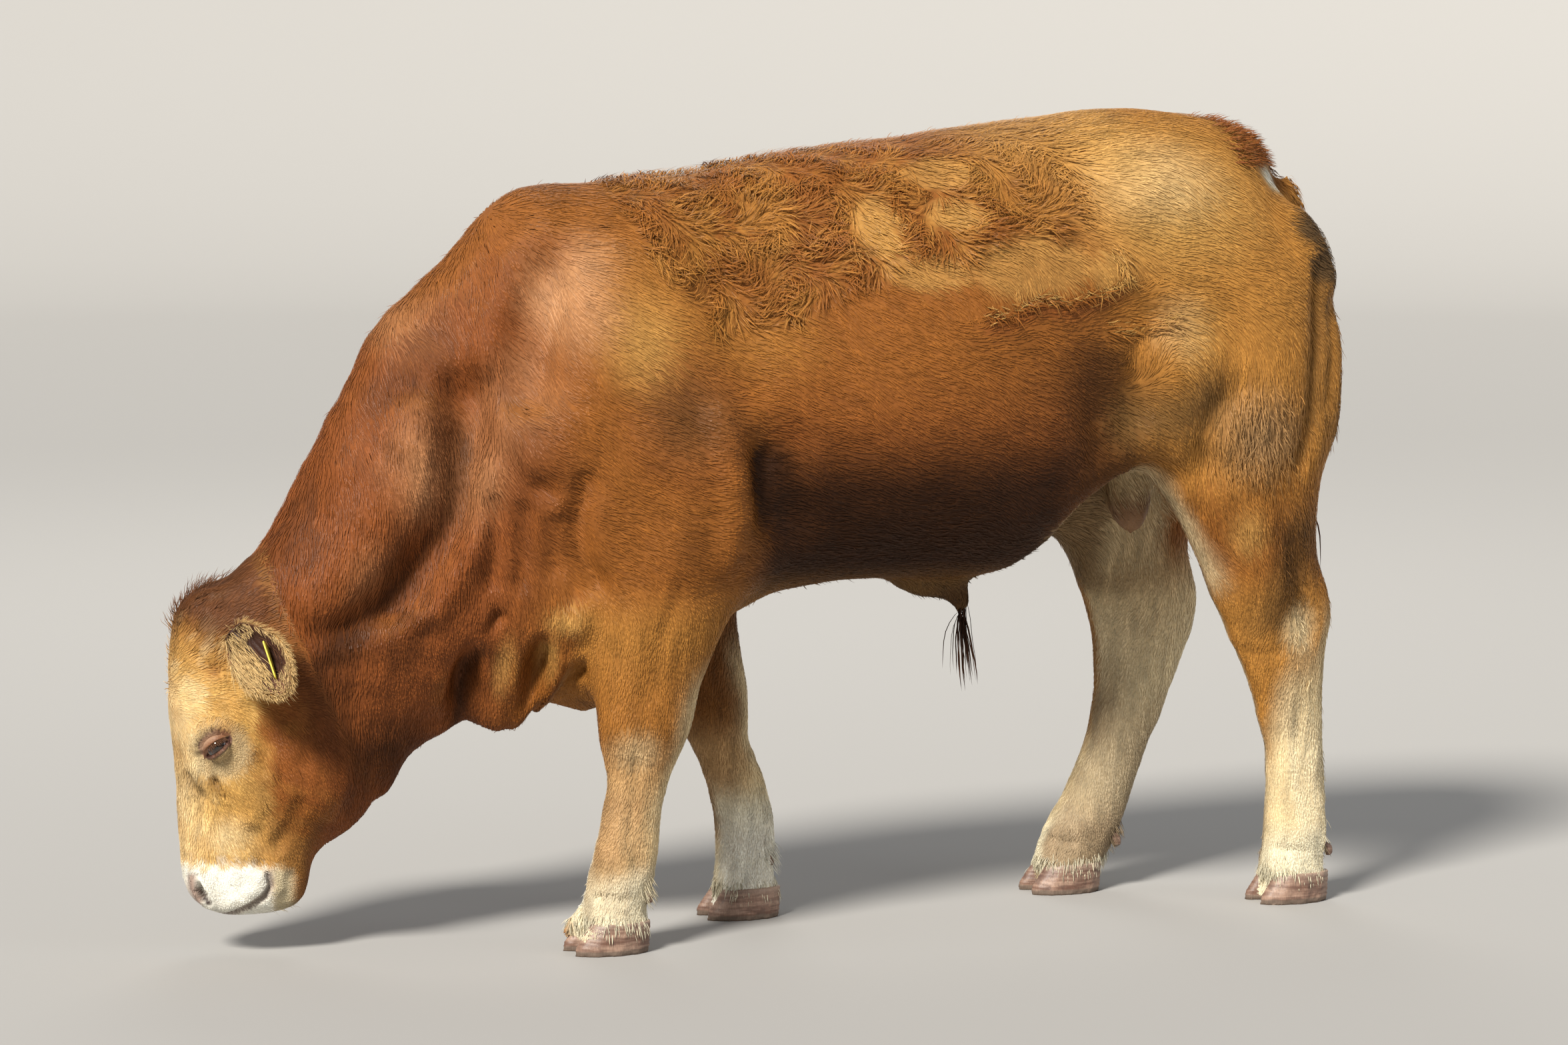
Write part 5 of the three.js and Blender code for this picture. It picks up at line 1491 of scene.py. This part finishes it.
def lock_sizes(points, sizes):
    """Length and width of the short locks at each place."""
    x, _, z = points.T
    head = head_share(points)
    low = ease(0.66, 0.52, z) * ease(-0.43, -0.38, x) * (1 - head)
    flat = in_head(points)[:, :2]
    eye = ease(0.06, 0.035, oval(flat, (0.066, 0.34), 1.0))
    close = head * np.maximum(ease(0.17, 0.13, flat[:, 1]), eye)
    hanging = ease(0.6, 0.52, z) * ease(-0.76, -0.7, x) * (x < -0.38) * (1 - head)

    def between(body, leg, face):
        size = body + (leg - body) * low
        return size + (face - size) * head

    length = between(sizes.body_length, sizes.leg_length, sizes.face_length) * (1 - 0.58 * close)
    length = length * (1 - 0.35 * low * ease(0.3, 0.1, z)) * (1 - 0.4 * hanging)
    width = between(sizes.body_width, sizes.leg_width, sizes.face_width)
    return length, width * (1 - 0.25 * close)


# How bright a short lock is at its root, its bend and its tip, and how much darker rough roots are.
LOCK_SHADES, ROOT_SHADOW = np.array((0.92, 0.99, 1.04)), np.array((0.27, 0.0, 0.0))


def comb_coat(pelt, sizes):
    """Grows the short coat over the whole skin, and yields its pieces."""
    rng = np.random.default_rng(COAT_SEED)
    length, width = lock_sizes(pelt.middles, sizes)
    roots = pelt.roots(sizes.layers / (length * width * 0.62), rng)
    count = len(roots)
    points, normals = roots.points, roots.normals
    length, width = lock_sizes(points, sizes)
    rough = roughness_of(points, normals)
    lie = turned(lie_of(points, normals), normals, rng.normal(0, 0.1 + 0.3 * rough, count))
    length = length * rng.uniform(0.75, 1.25, count) * (1 + 0.3 * rough)
    width = width * rng.uniform(0.75, 1.25, count) * (1 - 0.15 * rough)
    lift = length * (0.022 + 0.03 * rng.random(count) + rough * rng.uniform(0.05, 0.42, count))
    knee = pelt.draped(points + (length * 0.48)[:, None] * lie, 0.0006 + 0.75 * lift)
    tip = pelt.draped(points + length[:, None] * lie, lift)
    spines = np.stack([points - normals * ROOT_DEPTH, knee, tip], axis=1)
    tone = rng.normal(1.0, 0.045 + 0.06 * rough, count) * (1 + 0.15 * streaks_of(points, lie))
    shades = tone[:, None] * (LOCK_SHADES - rough[:, None] * ROOT_SHADOW)
    for name, slot, mask in coat_regions(points):
        piece = grow_locks(name, spines[mask], width[mask], normals[mask], roots.take(mask), shades[mask])
        yield piece, slot


# -------- long hair
def strands(points, start, length, stations, pull, curl, rng):
    """Spines that leave points along start, drawn towards pull and curling on their way."""
    step = (length / (stations - 1))[:, None]
    way, here, spine = unit(start), points, [points]
    phase = rng.uniform(0, math.tau, len(points))
    side = unit(np.cross(way, rng.normal(size=way.shape)))
    for k in range(stations - 1):
        turn = (phase + 1.7 * k)[:, None]
        way = unit(way + np.array(pull) + curl * (side * np.cos(turn) + np.cross(way, side) * np.sin(turn)))
        here = here + step * way
        spine.append(here)
    return np.stack(spine, axis=1)


def near_path(path, reach):
    """A region along a path seen from the side, on both flanks."""
    return lambda p, n: beside(p[:, (0, 2)], path, reach) * flank_share(n)


def on_head_near(centre, radii):
    return lambda p, n: mound(in_head(p), centre, radii) * head_share(p)


def around(centre, radii):
    return lambda p, n: mound(p, centre, radii)


def crest(p, n):
    return product((0.25, 0.7, n[:, 2]), (-0.88, -0.84, p[:, 0]), (-0.3, -0.45, p[:, 0]))


def belly(p, n):
    under = product((-0.2, -0.6, n[:, 2]), (0.7, 0.66, p[:, 2]), (-0.12, 0, p[:, 0]))
    return under * (p[:, 2] > 0.52)


def throat(p, n):
    under = product((-0.1, -0.5, n[:, 2]), (0.62, 0.56, p[:, 2]), (-0.36, -0.4, p[:, 0]))
    return under * (1 - head_share(p))


def tail_head(p, n):
    top = ease(0.72, 0.77, p[:, 0]) * ease(0.895, 0.875, p[:, 0]) * (p[:, 2] > 1.25)
    return top * bell(p[:, 1] - 0.012, 0.02)


def dock(p, n):
    return ease(0.925, 0.935, p[:, 0]) * bell(p[:, 1] - 0.006, 0.032) * ease(1.16, 1.13, p[:, 2])


def tail_end(p, n):
    end = ease(0.925, 0.935, p[:, 0]) * ease(0.735, 0.715, p[:, 2]) * (p[:, 2] > 0.64)
    return end * bell(p[:, 1] - 0.01, 0.045)


def rough_thigh(p, n):
    return mound(p[:, (0, 2)], (0.765, 0.805), (0.12, 0.115)) * flank_share(n)


def pastern(p, n):
    return ease(0.135, 0.11, p[:, 2]) * ease(0.048, 0.054, p[:, 2]) * (p[:, 0] > -0.5)


def coronet(p, n):
    return ease(0.072, 0.062, p[:, 2]) * ease(0.04, 0.046, p[:, 2]) * (p[:, 0] > -0.5)


def over_dewclaws(p, n):
    total = np.zeros(len(p))
    for leg in LEGS:
        for place in PLACES:
            above = middle(f"{leg}_dewclaw_{place}") + (-0.012, 0, 0.014)
            total = np.maximum(total, mound(p, above, (0.03, 0.026, 0.028)))
    return total


# The long hair: name, slot, where, locks to the square metre, length, width, how much it stands up,
# what draws it, curl, stations of its spine, tint and how bright.
LONG_HAIR = (
    ("hair_crown", "dark_hair", on_head_near((0.11, 0.555, 0), (0.09, 0.075, 0.09)), 32000,
     0.032, 0.0018, 0.45, (0, 0, 0), 0.42, 5, None, 1.05),
    ("hair_forehead", "tan_coat", on_head_near((0.15, 0.45, 0), (0.05, 0.09, 0.1)), 17000,
     0.022, 0.0014, 0.15, (0, 0, -0.05), 0.34, 5, None, 1.08),
    ("hair_cheek", "tan_coat", on_head_near((-0.01, 0.285, 0.075), (0.06, 0.12, 0.08)), 9000,
     0.02, 0.0014, 0.12, (0, 0, -0.05), 0.22, 5, None, 1.12),
    ("hair_crest", "red_coat", crest, 7000, 0.02, 0.0017, 0.08, (0.05, 0, 0), 0.08, 4, None, 1.0),
    ("hair_belly", "red_coat", belly, 7000, 0.018, 0.0017, 0.08, (0.05, 0, -0.04), 0.12, 4, None, 0.95),
    ("hair_throat", "red_coat", throat, 8000, 0.013, 0.0016, 0.06, (0, 0, -0.05), 0.1, 4, None, 1.0),
    ("hair_tail_head", "red_coat", tail_head, 30000,
     0.027, 0.0021, 0.75, (0.12, 0, 0), 0.28, 5, "mahogany", 1.1),
    ("hair_dock", "dark_hair", dock, 22000, 0.026, 0.0018, 0.12, (0.02, 0, -0.15), 0.14, 5, None, 0.95),
    ("tail_switch_hair", "dark_hair", tail_end, 90000,
     0.15, 0.003, 0.1, (-0.06, 0.02, -0.45), 0.1, 8, "poll", 0.9),
    ("sheath_hair", "dark_hair", around((0.322, -0.002, 0.508), (0.024, 0.022, 0.026)), 90000,
     0.125, 0.0028, 0.08, (0.06, 0, -0.5), 0.1, 8, "poll", 0.55),
    ("hair_flank_ridge", "tan_coat", near_path(FLANK_RIDGE, 0.02), 22000,
     0.024, 0.0016, 0.45, (0.1, 0, 0.1), 0.26, 5, "gold", 0.85),
    ("hair_thigh_ridge", "tan_coat", near_path(THIGH_RIDGE, 0.016), 36000,
     0.022, 0.0016, 0.45, (0, 0, 0.15), 0.26, 5, "gold", 0.85),
    ("hair_whorl_ridge", "tan_coat", near_path(WHORL_RIDGE, 0.018), 34000,
     0.024, 0.0016, 0.45, (-0.15, 0, 0.05), 0.28, 5, "gold", 0.85),
    ("hair_back_curls", "red_coat", curls, 9500, 0.022, 0.0017, 0.36, (0.02, 0, -0.03), 0.56, 5, None, 1.2),
    ("hair_rough_thigh", "tan_coat", rough_thigh, 11000,
     0.025, 0.002, 0.4, (0, 0, -0.08), 0.24, 5, None, 1.15),
    ("hair_gaskin", "tan_coat", near_path(((0.825, 0.6), (0.85, 0.53), (0.862, 0.46)), 0.045), 16000,
     0.024, 0.0017, 0.26, (0.05, 0, -0.02), 0.26, 5, None, 1.05),
    ("hair_hock_tuft", "pale_coat", around((0.885, -0.15, 0.385), (0.016, 0.03, 0.017)), 90000,
     0.028, 0.0019, 0.5, (-0.1, 0, -0.15), 0.35, 5, "cream", 0.9),
    ("hair_pastern", "pale_coat", pastern, 8000, 0.013, 0.0016, 0.1, (0, 0, -0.06), 0.08, 4, None, 1.0),
    ("hair_coronet", "pale_coat", coronet, 62000, 0.024, 0.0016, 0.42, (0, 0, -0.3), 0.1, 5, "pale", 0.86),
    ("hair_dewclaws", "pale_coat", over_dewclaws, 90000,
     0.028, 0.0016, 0.45, (0.25, 0, -0.28), 0.12, 5, None, 0.9),
    ("hair_chin", "pale_coat", on_head_near((-0.015, 0.08, 0), (0.04, 0.04, 0.06)), 9000,
     0.017, 0.0011, 0.7, (0, 0, -0.05), 0.12, 4, None, 1.25),
)


def tinted_roots(pelt, density, colours, tint, rng):
    """Scattered roots, whose own paint is drawn to a tint where one is named."""
    roots = pelt.roots(density, rng)
    if tint:
        share = rng.uniform(0.7, 1.0, len(roots))
        roots.paint = blend(roots.paint, getattr(colours, tint), share)
    return roots


def leaving(lie, normals, lift, rise, turn, rng):
    """The ways in which locks leave the skin: along their lie, lifted and a little at random."""
    start = lie + (lift + rise * rng.normal(size=len(lie)))[:, None] * normals
    return start + turn * rng.normal(size=start.shape)


def grow_long(name, roots, start, shape, rng):
    """Long locks that leave their roots along start.

    The shape holds their length, width, pull, curl, number of stations and tone.
    """
    length, width, pull, curl, stations, tone = shape
    count = len(roots)
    lengths = length * rng.uniform(0.55, 1.15, count)
    first = roots.points - roots.normals * ROOT_DEPTH
    spines = strands(first, start, lengths, stations, pull, curl, rng)
    tones = tone * rng.normal(1.0, 0.12, count)[:, None]
    shades = tones * np.interp(np.linspace(0, 1, stations), (0, 0.35, 1), (0.6, 0.95, 1.18))[None]
    return grow_locks(name, spines, width * rng.uniform(0.6, 1.2, count), roots.normals, roots, shades)


def long_hair(pelt, colours):
    """Yields each piece of long hair on the skin, with its slot."""
    rng = np.random.default_rng(LONG_SEED)
    for name, slot, where, number, length, width, lift, pull, curl, stations, tint, tone in LONG_HAIR:
        roots = tinted_roots(pelt, number * where(pelt.middles, pelt.facing), colours, tint, rng)
        start = leaving(lie_of(roots.points, roots.normals), roots.normals, lift, 0.15, 0.15, rng)
        yield grow_long(name, roots, start, (length, width, pull, curl, stations, tone), rng), slot


def lashes(pelt, name, side, colours):
    """The lashes of one eye: brown and hanging above, short and pale below."""
    rng = np.random.default_rng(LASH_SEED)
    centre, look, along, across = eye_axes(side)
    paint = tuple(colours.lid_brown)
    for row, count, below, length, tone in (("upper", 120, 0, 0.015, 0.55), ("lower", 60, 1.0, 0.006, 1.0)):
        a = rng.uniform(-0.92, 0.92, count) * LID_LENGTH
        upper, lower, _ = lid_curves(a)
        b = (lower - 0.0035 if below else upper + 0.0022) + rng.normal(0, 0.0006, count)
        out = np.sqrt(np.clip((EYE_RADIUS + LID_SHELL) ** 2 - a ** 2 - b ** 2, 1e-6, None))
        points = centre + a[:, None] * along + b[:, None] * across + out[:, None] * look
        normals = unit(points - centre)
        nearest = [int(np.argmin(((pelt.middles - point) ** 2).sum(axis=1))) for point in points]
        roots = Roots(points, normals, pelt.homes[nearest].mean(axis=1), np.tile(paint, (count, 1)))
        start = normals * 0.9 - across * (0.55 + 0.25 * below) + (a / LID_LENGTH)[:, None] * along * 0.55
        yield grow_long(f"lashes_{row}_{name}", roots, start,
                        (length, 0.0008, tuple(-0.3 * across), 0.05, 6, tone), rng)


def ear_hair(name, side, shell, colours):
    """One ear's hair: short fur outside, a pale rim and tip, and long hair over the hollow."""
    rng = np.random.default_rng(EAR_SEED)
    pelt = Pelt(shell.data)
    pelt.bare[:] = 0
    _, _, along, across, facing = ear_frame(side)
    u, v, half, edge = on_ear(pelt.middles, side)
    inward = pelt.facing @ facing
    lower = ease(-0.1, 0.5, v / half * lower_rim(across))
    inside = ease(0, 0.4, inward)
    # Name, locks to the square metre, length, width, lift, drop, curl, stations, tint and tone.
    plan = (
        ("fur", 110000 * ease(-0.1, -0.4, inward), 0.013, 0.0014, 0.15, 0, 0.1, 3, None, 1.0),
        ("rim", 210000 * ease(0.72, 0.95, edge) + 130000 * ease(0.1, 0, u),
         0.021, 0.0011, 0.42, 0, 0.1, 5, "blond", 0.95),
        ("inner", 250000 * inside * lower * ease(0.7, 0.35, u),
         0.052, 0.0012, 0.22, -0.03, 0.05, 6, "blond", 1.0),
        ("tip", 130000 * ease(0.6, 0.8, u), 0.024, 0.0012, 0.25, -0.03, 0.08, 5, "blond", 0.95),
        ("hollow", 16000 * inside * (1 - lower) * ease(0.12, 0.28, u),
         0.03, 0.0011, 0.2, 0, 0.1, 5, "lid_brown", 0.8),
    )
    for part, density, length, width, lift, drop, curl, stations, tint, tone in plan:
        roots = tinted_roots(pelt, density, colours, tint, rng)
        flat = along - (roots.normals @ along)[:, None] * roots.normals
        start = leaving(unit(flat), roots.normals, lift, 0.12, 0.09, rng)
        yield grow_long(f"ear_{part}_{name}", roots, start,
                        (length, width, (0, 0, drop), curl, stations, tone), rng)


def lower_rim(across):
    """The sign of across that points down the ear's width."""
    return -np.sign(across @ (UP + 0.4 * HEAD_FORWARD))


# -------- the stage
CAMERA_PLACE = Vector((-3.26419, -8.07844, 1.56))
CAMERA_YAW, CAMERA_DIP = math.radians(22.0), math.radians(5.846)
CAMERA_LENS = 122.449        # mm
STAGE_RADIUS, STAGE_CURVE = 16.0, 6.0


def add_floor(material):
    """A round floor that curves up into a low wall far behind the object."""
    line = [(0.0, 0.0), (STAGE_RADIUS, 0.0)]
    for step in range(1, 13):
        angle = math.radians(90.0 * step / 12)
        line.append((STAGE_RADIUS + STAGE_CURVE * math.sin(angle), STAGE_CURVE * (1 - math.cos(angle))))
    line.append((STAGE_RADIUS + STAGE_CURVE, STAGE_CURVE + 1.0))
    bowl = bmesh.new()
    profile = [bowl.verts.new((x, 0.0, z)) for x, z in line]
    edges = [bowl.edges.new(pair) for pair in zip(profile, profile[1:])]
    bmesh.ops.spin(bowl, geom=profile + edges, cent=(0, 0, 0), axis=(0, 0, 1), angle=math.tau,
                   steps=96, use_merge=True)
    bmesh.ops.remove_doubles(bowl, verts=bowl.verts, dist=1e-5)
    mesh = mesh_from("studio_floor", bowl)
    shade_smooth(mesh)
    mesh.materials.append(material)
    new_object("studio_floor", mesh)


def point_from(thing, place, line):
    """Puts a lamp or camera at a place, looking along a line."""
    thing.location = place
    thing.rotation_euler = line.to_track_quat("-Z", "Y").to_euler()


def add_light(name, kind, place, aim, size, strength, colour):
    """A lamp at a place, aimed at another; its size is a width, or the sun's angle."""
    lamp = bpy.data.lights.new(name, kind)
    lamp.energy, lamp.color = strength, colour
    if kind == "SUN":
        lamp.angle = size
    else:
        lamp.shape, lamp.size = "DISK", size
    point_from(new_object(name, lamp), place, Vector(aim) - Vector(place))


def add_camera():
    lens = bpy.data.cameras.new("camera")
    lens.lens, lens.sensor_width, lens.clip_end = CAMERA_LENS, 36.0, 100.0
    line = Vector((math.sin(CAMERA_YAW) * math.cos(CAMERA_DIP),
                   math.cos(CAMERA_YAW) * math.cos(CAMERA_DIP), -math.sin(CAMERA_DIP)))
    camera = new_object("camera", lens)
    point_from(camera, CAMERA_PLACE, line)
    bpy.context.scene.camera = camera


# -------- sizes and colours to choose
def length_of(name, description, default):
    return FloatProperty(name=name, description=description, default=default, min=0.0, unit="LENGTH")


def colour_of(name, description, default):
    return FloatVectorProperty(name=name, description=description, default=default, size=3,
                               subtype="COLOR", min=0.0, max=1.0)


class BullSizes(PropertyGroup):
    """Sizes of the skin's net and of the hair."""

    swell: length_of("Swell", "How far each solid grows, so that neighbours run into each other", 0.0012)
    voxel: length_of("Net", "Cell size of the skin's net", 0.012)
    coat_depth: length_of("Coat depth", "How far the skin lies inside the solids", 0.0048)
    body_length: length_of("Body hair length", "Length of the locks on the trunk and neck", 0.0285)
    body_width: length_of("Body lock width", "Width of the locks on the trunk and neck", 0.0022)
    leg_length: length_of("Leg hair length", "Length of the locks on the legs", 0.0158)
    leg_width: length_of("Leg lock width", "Width of the locks on the legs", 0.002)
    face_length: length_of("Face hair length", "Length of the locks on the head", 0.0165)
    face_width: length_of("Face lock width", "Width of the locks on the head", 0.0018)
    layers: FloatProperty(name="Layers", description="How many locks lie over each place", default=1.08,
                          min=0.1, max=4.0)


class BullColours(PropertyGroup):
    """Colours of the coat, skin and tag."""

    red: colour_of("Red", "Shoulder and ribs", (0.268, 0.094, 0.017))
    # Mahogany is also painted shade round the elbow and upper arm, on the lower barrel and under the flank's
    # hair ridge.
    mahogany: colour_of("Mahogany", "Neck and dewlap", (0.215, 0.063, 0.015))
    tan: colour_of("Tan", "Rump, thighs and legs", (0.41, 0.186, 0.038))
    # Gold is also painted highlight high on the near side, on the loin and on the dewlap's lobes.
    gold: colour_of("Gold", "Face and lit ridges", (0.61, 0.36, 0.105))
    # Dark is mostly painted shade: in the neck's folds and groove, behind the elbow, in the flank's hollow,
    # on throat and jaw and in the dewlap's notch; on the belly and legs it is partly the hair's own colour.
    dark: colour_of("Dark", "Belly, flank and winter hair", (0.034, 0.0115, 0.003))
    poll: colour_of("Crown", "Between the ears", (0.105, 0.036, 0.013))
    cream: colour_of("Cream", "Inside the legs and round the eyes", (0.78, 0.63, 0.37))
    pale: colour_of("Pale", "Fetlocks", (0.8, 0.74, 0.55))
    white: colour_of("White", "Muzzle", (0.86, 0.84, 0.75))
    chin: colour_of("Chin", "Lower lip and chin", (0.6, 0.51, 0.33))
    nose: colour_of("Nose", "Nostril rims and nose", (0.3, 0.18, 0.14))
    # Hollow is painted shade inside nostrils and ears, in the lids' creases, edges and opening and along the
    # lip's edge.
    hollow: colour_of("Hollow", "Inside nostrils and ears", (0.028, 0.012, 0.009))
    # Umber is also painted shade under the brow, in the tear pits, on the upper arm and along the fold before
    # the thigh.
    umber: colour_of("Umber", "Brown shading of thighs and legs", (0.16, 0.082, 0.024))
    # Grey is also painted shade on the inner hind legs and in the groin.
    grey: colour_of("Grey", "Rough hair on the thigh", (0.3, 0.205, 0.115))
    # Dirt is also painted shade in the crevice beside the tail.
    dirt: colour_of("Dirt", "Soiled hair round the tail", (0.05, 0.036, 0.02))
    brown_skin: colour_of("Brown skin", "Scrotum and shaded folds", (0.23, 0.12, 0.06))
    lid: colour_of("Lid", "Upper eyelids", (0.43, 0.27, 0.18))
    lid_brown: colour_of("Lid brown", "Upper eyelids by the lashes", (0.23, 0.105, 0.055))
    lid_edge: colour_of("Lid edge", "Lower eyelids", (0.15, 0.07, 0.055))
    lid_corner: colour_of("Lid corner", "Inner corners of the eyes", (0.09, 0.014, 0.01))
    ear_skin: colour_of("Ear skin", "Inside the ears", (0.2, 0.095, 0.06))
    fawn: colour_of("Fawn", "Sheen of the neck", (0.56, 0.3, 0.145))
    blond: colour_of("Blond", "Long hair of the ears", (0.82, 0.58, 0.27))
    tag: colour_of("Tag", "The ear tag", (0.8, 0.7, 0.09))
    floor: colour_of("Floor", "The studio floor", (0.4, 0.394, 0.384))


class BullStage(PropertyGroup):
    """Strengths of the studio lights."""

    key: FloatProperty(name="Key", description="Strength of the main light", default=5.2, min=0.0)
    fill: FloatProperty(name="Fill", description="Light on the shaded side, watts", default=60.0, min=0.0)
    rim: FloatProperty(name="Rim", description="Light from behind, watts", default=95.0, min=0.0)
    sky: FloatProperty(name="Sky", description="Even light from all round", default=0.36, min=0.0)


# -------- operators
class BULL_OT_skin(Operator):
    """Build the sculpted skin with its markings"""

    bl_idname = "bull.skin"
    bl_label = "Skin"

    def execute(self, context):
        colours = context.scene.bull_colours
        mesh = build_skin(context.scene.bull_sizes)
        skin = new_object("skin", mesh)
        unwrap(skin)
        sculpt_skin(mesh)
        points, normals = places(mesh), normals_of(mesh)
        paint = Paint(colours, colours.red, points)
        paint_trunk(paint, points, normals)
        paint_legs(paint, points, normals)
        paint_head(paint, points)
        paint_lids(paint, points)
        set_attribute(mesh, "Coat", np.clip(paint.result, 0, 1), "FLOAT_COLOR")
        set_attribute(mesh, "Bare", bare_share(points))
        shade_smooth(mesh)
        finish_piece(skin, "red_coat", skin_finish(), FLESH)
        return {"FINISHED"}


class BULL_OT_eyes(Operator):
    """Set the eyeballs behind the lids"""

    bl_idname = "bull.eyes"
    bl_label = "Eyes"

    def execute(self, context):
        wet = eye_finish()
        for name, side in SIDES:
            eye = new_object(f"eyeball_{name}", build_eye(side))
            finish_piece(eye, "eye", wet, (f"eye_{name}",))
        return {"FINISHED"}


class BULL_OT_ears(Operator):
    """Shape the ears and colour their hollows"""

    bl_idname = "bull.ears"
    bl_label = "Ears"

    def execute(self, context):
        for name, side in SIDES:
            ear = new_object(f"ear_shell_{name}", build_ear(name, side, context.scene.bull_colours))
            unwrap(ear)
            finish_piece(ear, "pale_coat", bpy.data.materials["short coat on skin"], (f"ear_{name}",))
        return {"FINISHED"}


class BULL_OT_feet(Operator):
    """Round and ring the hooves"""

    bl_idname = "bull.feet"
    bl_label = "Hooves"

    def execute(self, context):
        horn = horn_finish()
        for leg in LEGS:
            mesh, nodes = build_feet(leg)
            finish_piece(new_object(f"hooves_{leg}", mesh), "horn", horn, nodes)
        return {"FINISHED"}


class BULL_OT_tag(Operator):
    """Hang the plain ear tag"""

    bl_idname = "bull.tag"
    bl_label = "Ear tag"

    def execute(self, context):
        tag = new_object("ear_tag_plate", build_tag())
        finish_piece(tag, "tag", tag_finish(context.scene.bull_colours), ("ear_tag",))
        return {"FINISHED"}


class BULL_OT_coat(Operator):
    """Grow the short coat over the skin"""

    bl_idname = "bull.coat"
    bl_label = "Short coat"

    def execute(self, context):
        hair = hair_finish("short hair", 0.14)
        pelt = Pelt(bpy.data.objects["skin"].data)
        for piece, slot in comb_coat(pelt, context.scene.bull_sizes):
            finish_piece(piece, slot, hair)
        return {"FINISHED"}


class BULL_OT_long_hair(Operator):
    """Grow the long hair of crown, ears, lashes, tail, sheath, belly and feet"""

    bl_idname = "bull.long_hair"
    bl_label = "Long hair"

    def execute(self, context):
        colours = context.scene.bull_colours
        hair = hair_finish("long hair", 0.2)
        pelt = Pelt(bpy.data.objects["skin"].data)
        stands_for = {"tail_switch_hair": ("tail_switch",), "sheath_hair": ("sheath_tuft",)}
        for piece, slot in long_hair(pelt, colours):
            finish_piece(piece, slot, hair, stands_for.get(piece.name, ()))
        for name, side in SIDES:
            for piece in lashes(pelt, name, side, colours):
                finish_piece(piece, "dark_hair", hair)
            for piece in ear_hair(name, side, bpy.data.objects[f"ear_shell_{name}"], colours):
                finish_piece(piece, "pale_coat", hair)
        return {"FINISHED"}


class BULL_OT_stage(Operator):
    """Set the floor, the lights and the camera"""

    bl_idname = "bull.stage"
    bl_label = "Stage"

    def execute(self, context):
        stage = context.scene.bull_stage
        add_floor(floor_finish(context.scene.bull_colours))
        add_light("sun", "SUN", (-6.0, -4.8, 6.6), (0.0, 0.0, 0.0), math.radians(14), stage.key,
                  (1.0, 0.95, 0.87))
        add_light("fill", "AREA", (6.0, -6.0, 3.0), (0.1, 0.0, 0.7), 4.0, stage.fill, (0.9, 0.95, 1.0))
        add_light("rim", "AREA", (1.5, 5.5, 5.0), (0.0, 0.0, 0.9), 3.0, stage.rim, (1.0, 0.97, 0.92))
        sky = bpy.data.worlds.new("soft sky")
        sky.use_nodes = True
        ground = sky.node_tree.nodes["Background"]
        ground.inputs["Color"].default_value = (0.93, 0.96, 1.0, 1.0)
        ground.inputs["Strength"].default_value = stage.sky
        context.scene.world = sky
        context.scene.view_settings.view_transform = "Standard"
        add_camera()
        return {"FINISHED"}


class BULL_PT_panel(Panel):
    """The bull's pieces, in the order they are made"""

    bl_label = "Grazing Young Bull"
    bl_idname = "BULL_PT_panel"
    bl_space_type = "VIEW_3D"
    bl_region_type = "UI"
    bl_category = "Bull"

    def draw(self, context):
        for operator in OPERATORS:
            self.layout.operator(operator.bl_idname)


OPERATORS = (BULL_OT_skin, BULL_OT_eyes, BULL_OT_ears, BULL_OT_feet, BULL_OT_tag, BULL_OT_coat,
             BULL_OT_long_hair, BULL_OT_stage)
GROUPS = (("bull_sizes", BullSizes), ("bull_colours", BullColours), ("bull_stage", BullStage))


def register():
    for name, group in GROUPS:
        bpy.utils.register_class(group)
        setattr(bpy.types.Scene, name, PointerProperty(type=group))
    for item in OPERATORS + (BULL_PT_panel,):
        bpy.utils.register_class(item)


def unregister():
    for item in reversed(OPERATORS + (BULL_PT_panel,)):
        bpy.utils.unregister_class(item)
    for name, group in reversed(GROUPS):
        delattr(bpy.types.Scene, name)
        bpy.utils.unregister_class(group)


def main():
    register()
    for operator in (bpy.ops.bull.skin, bpy.ops.bull.eyes, bpy.ops.bull.ears, bpy.ops.bull.feet,
                     bpy.ops.bull.tag, bpy.ops.bull.coat, bpy.ops.bull.long_hair, bpy.ops.bull.stage):
        operator()


if __name__ == "__main__":
    main()
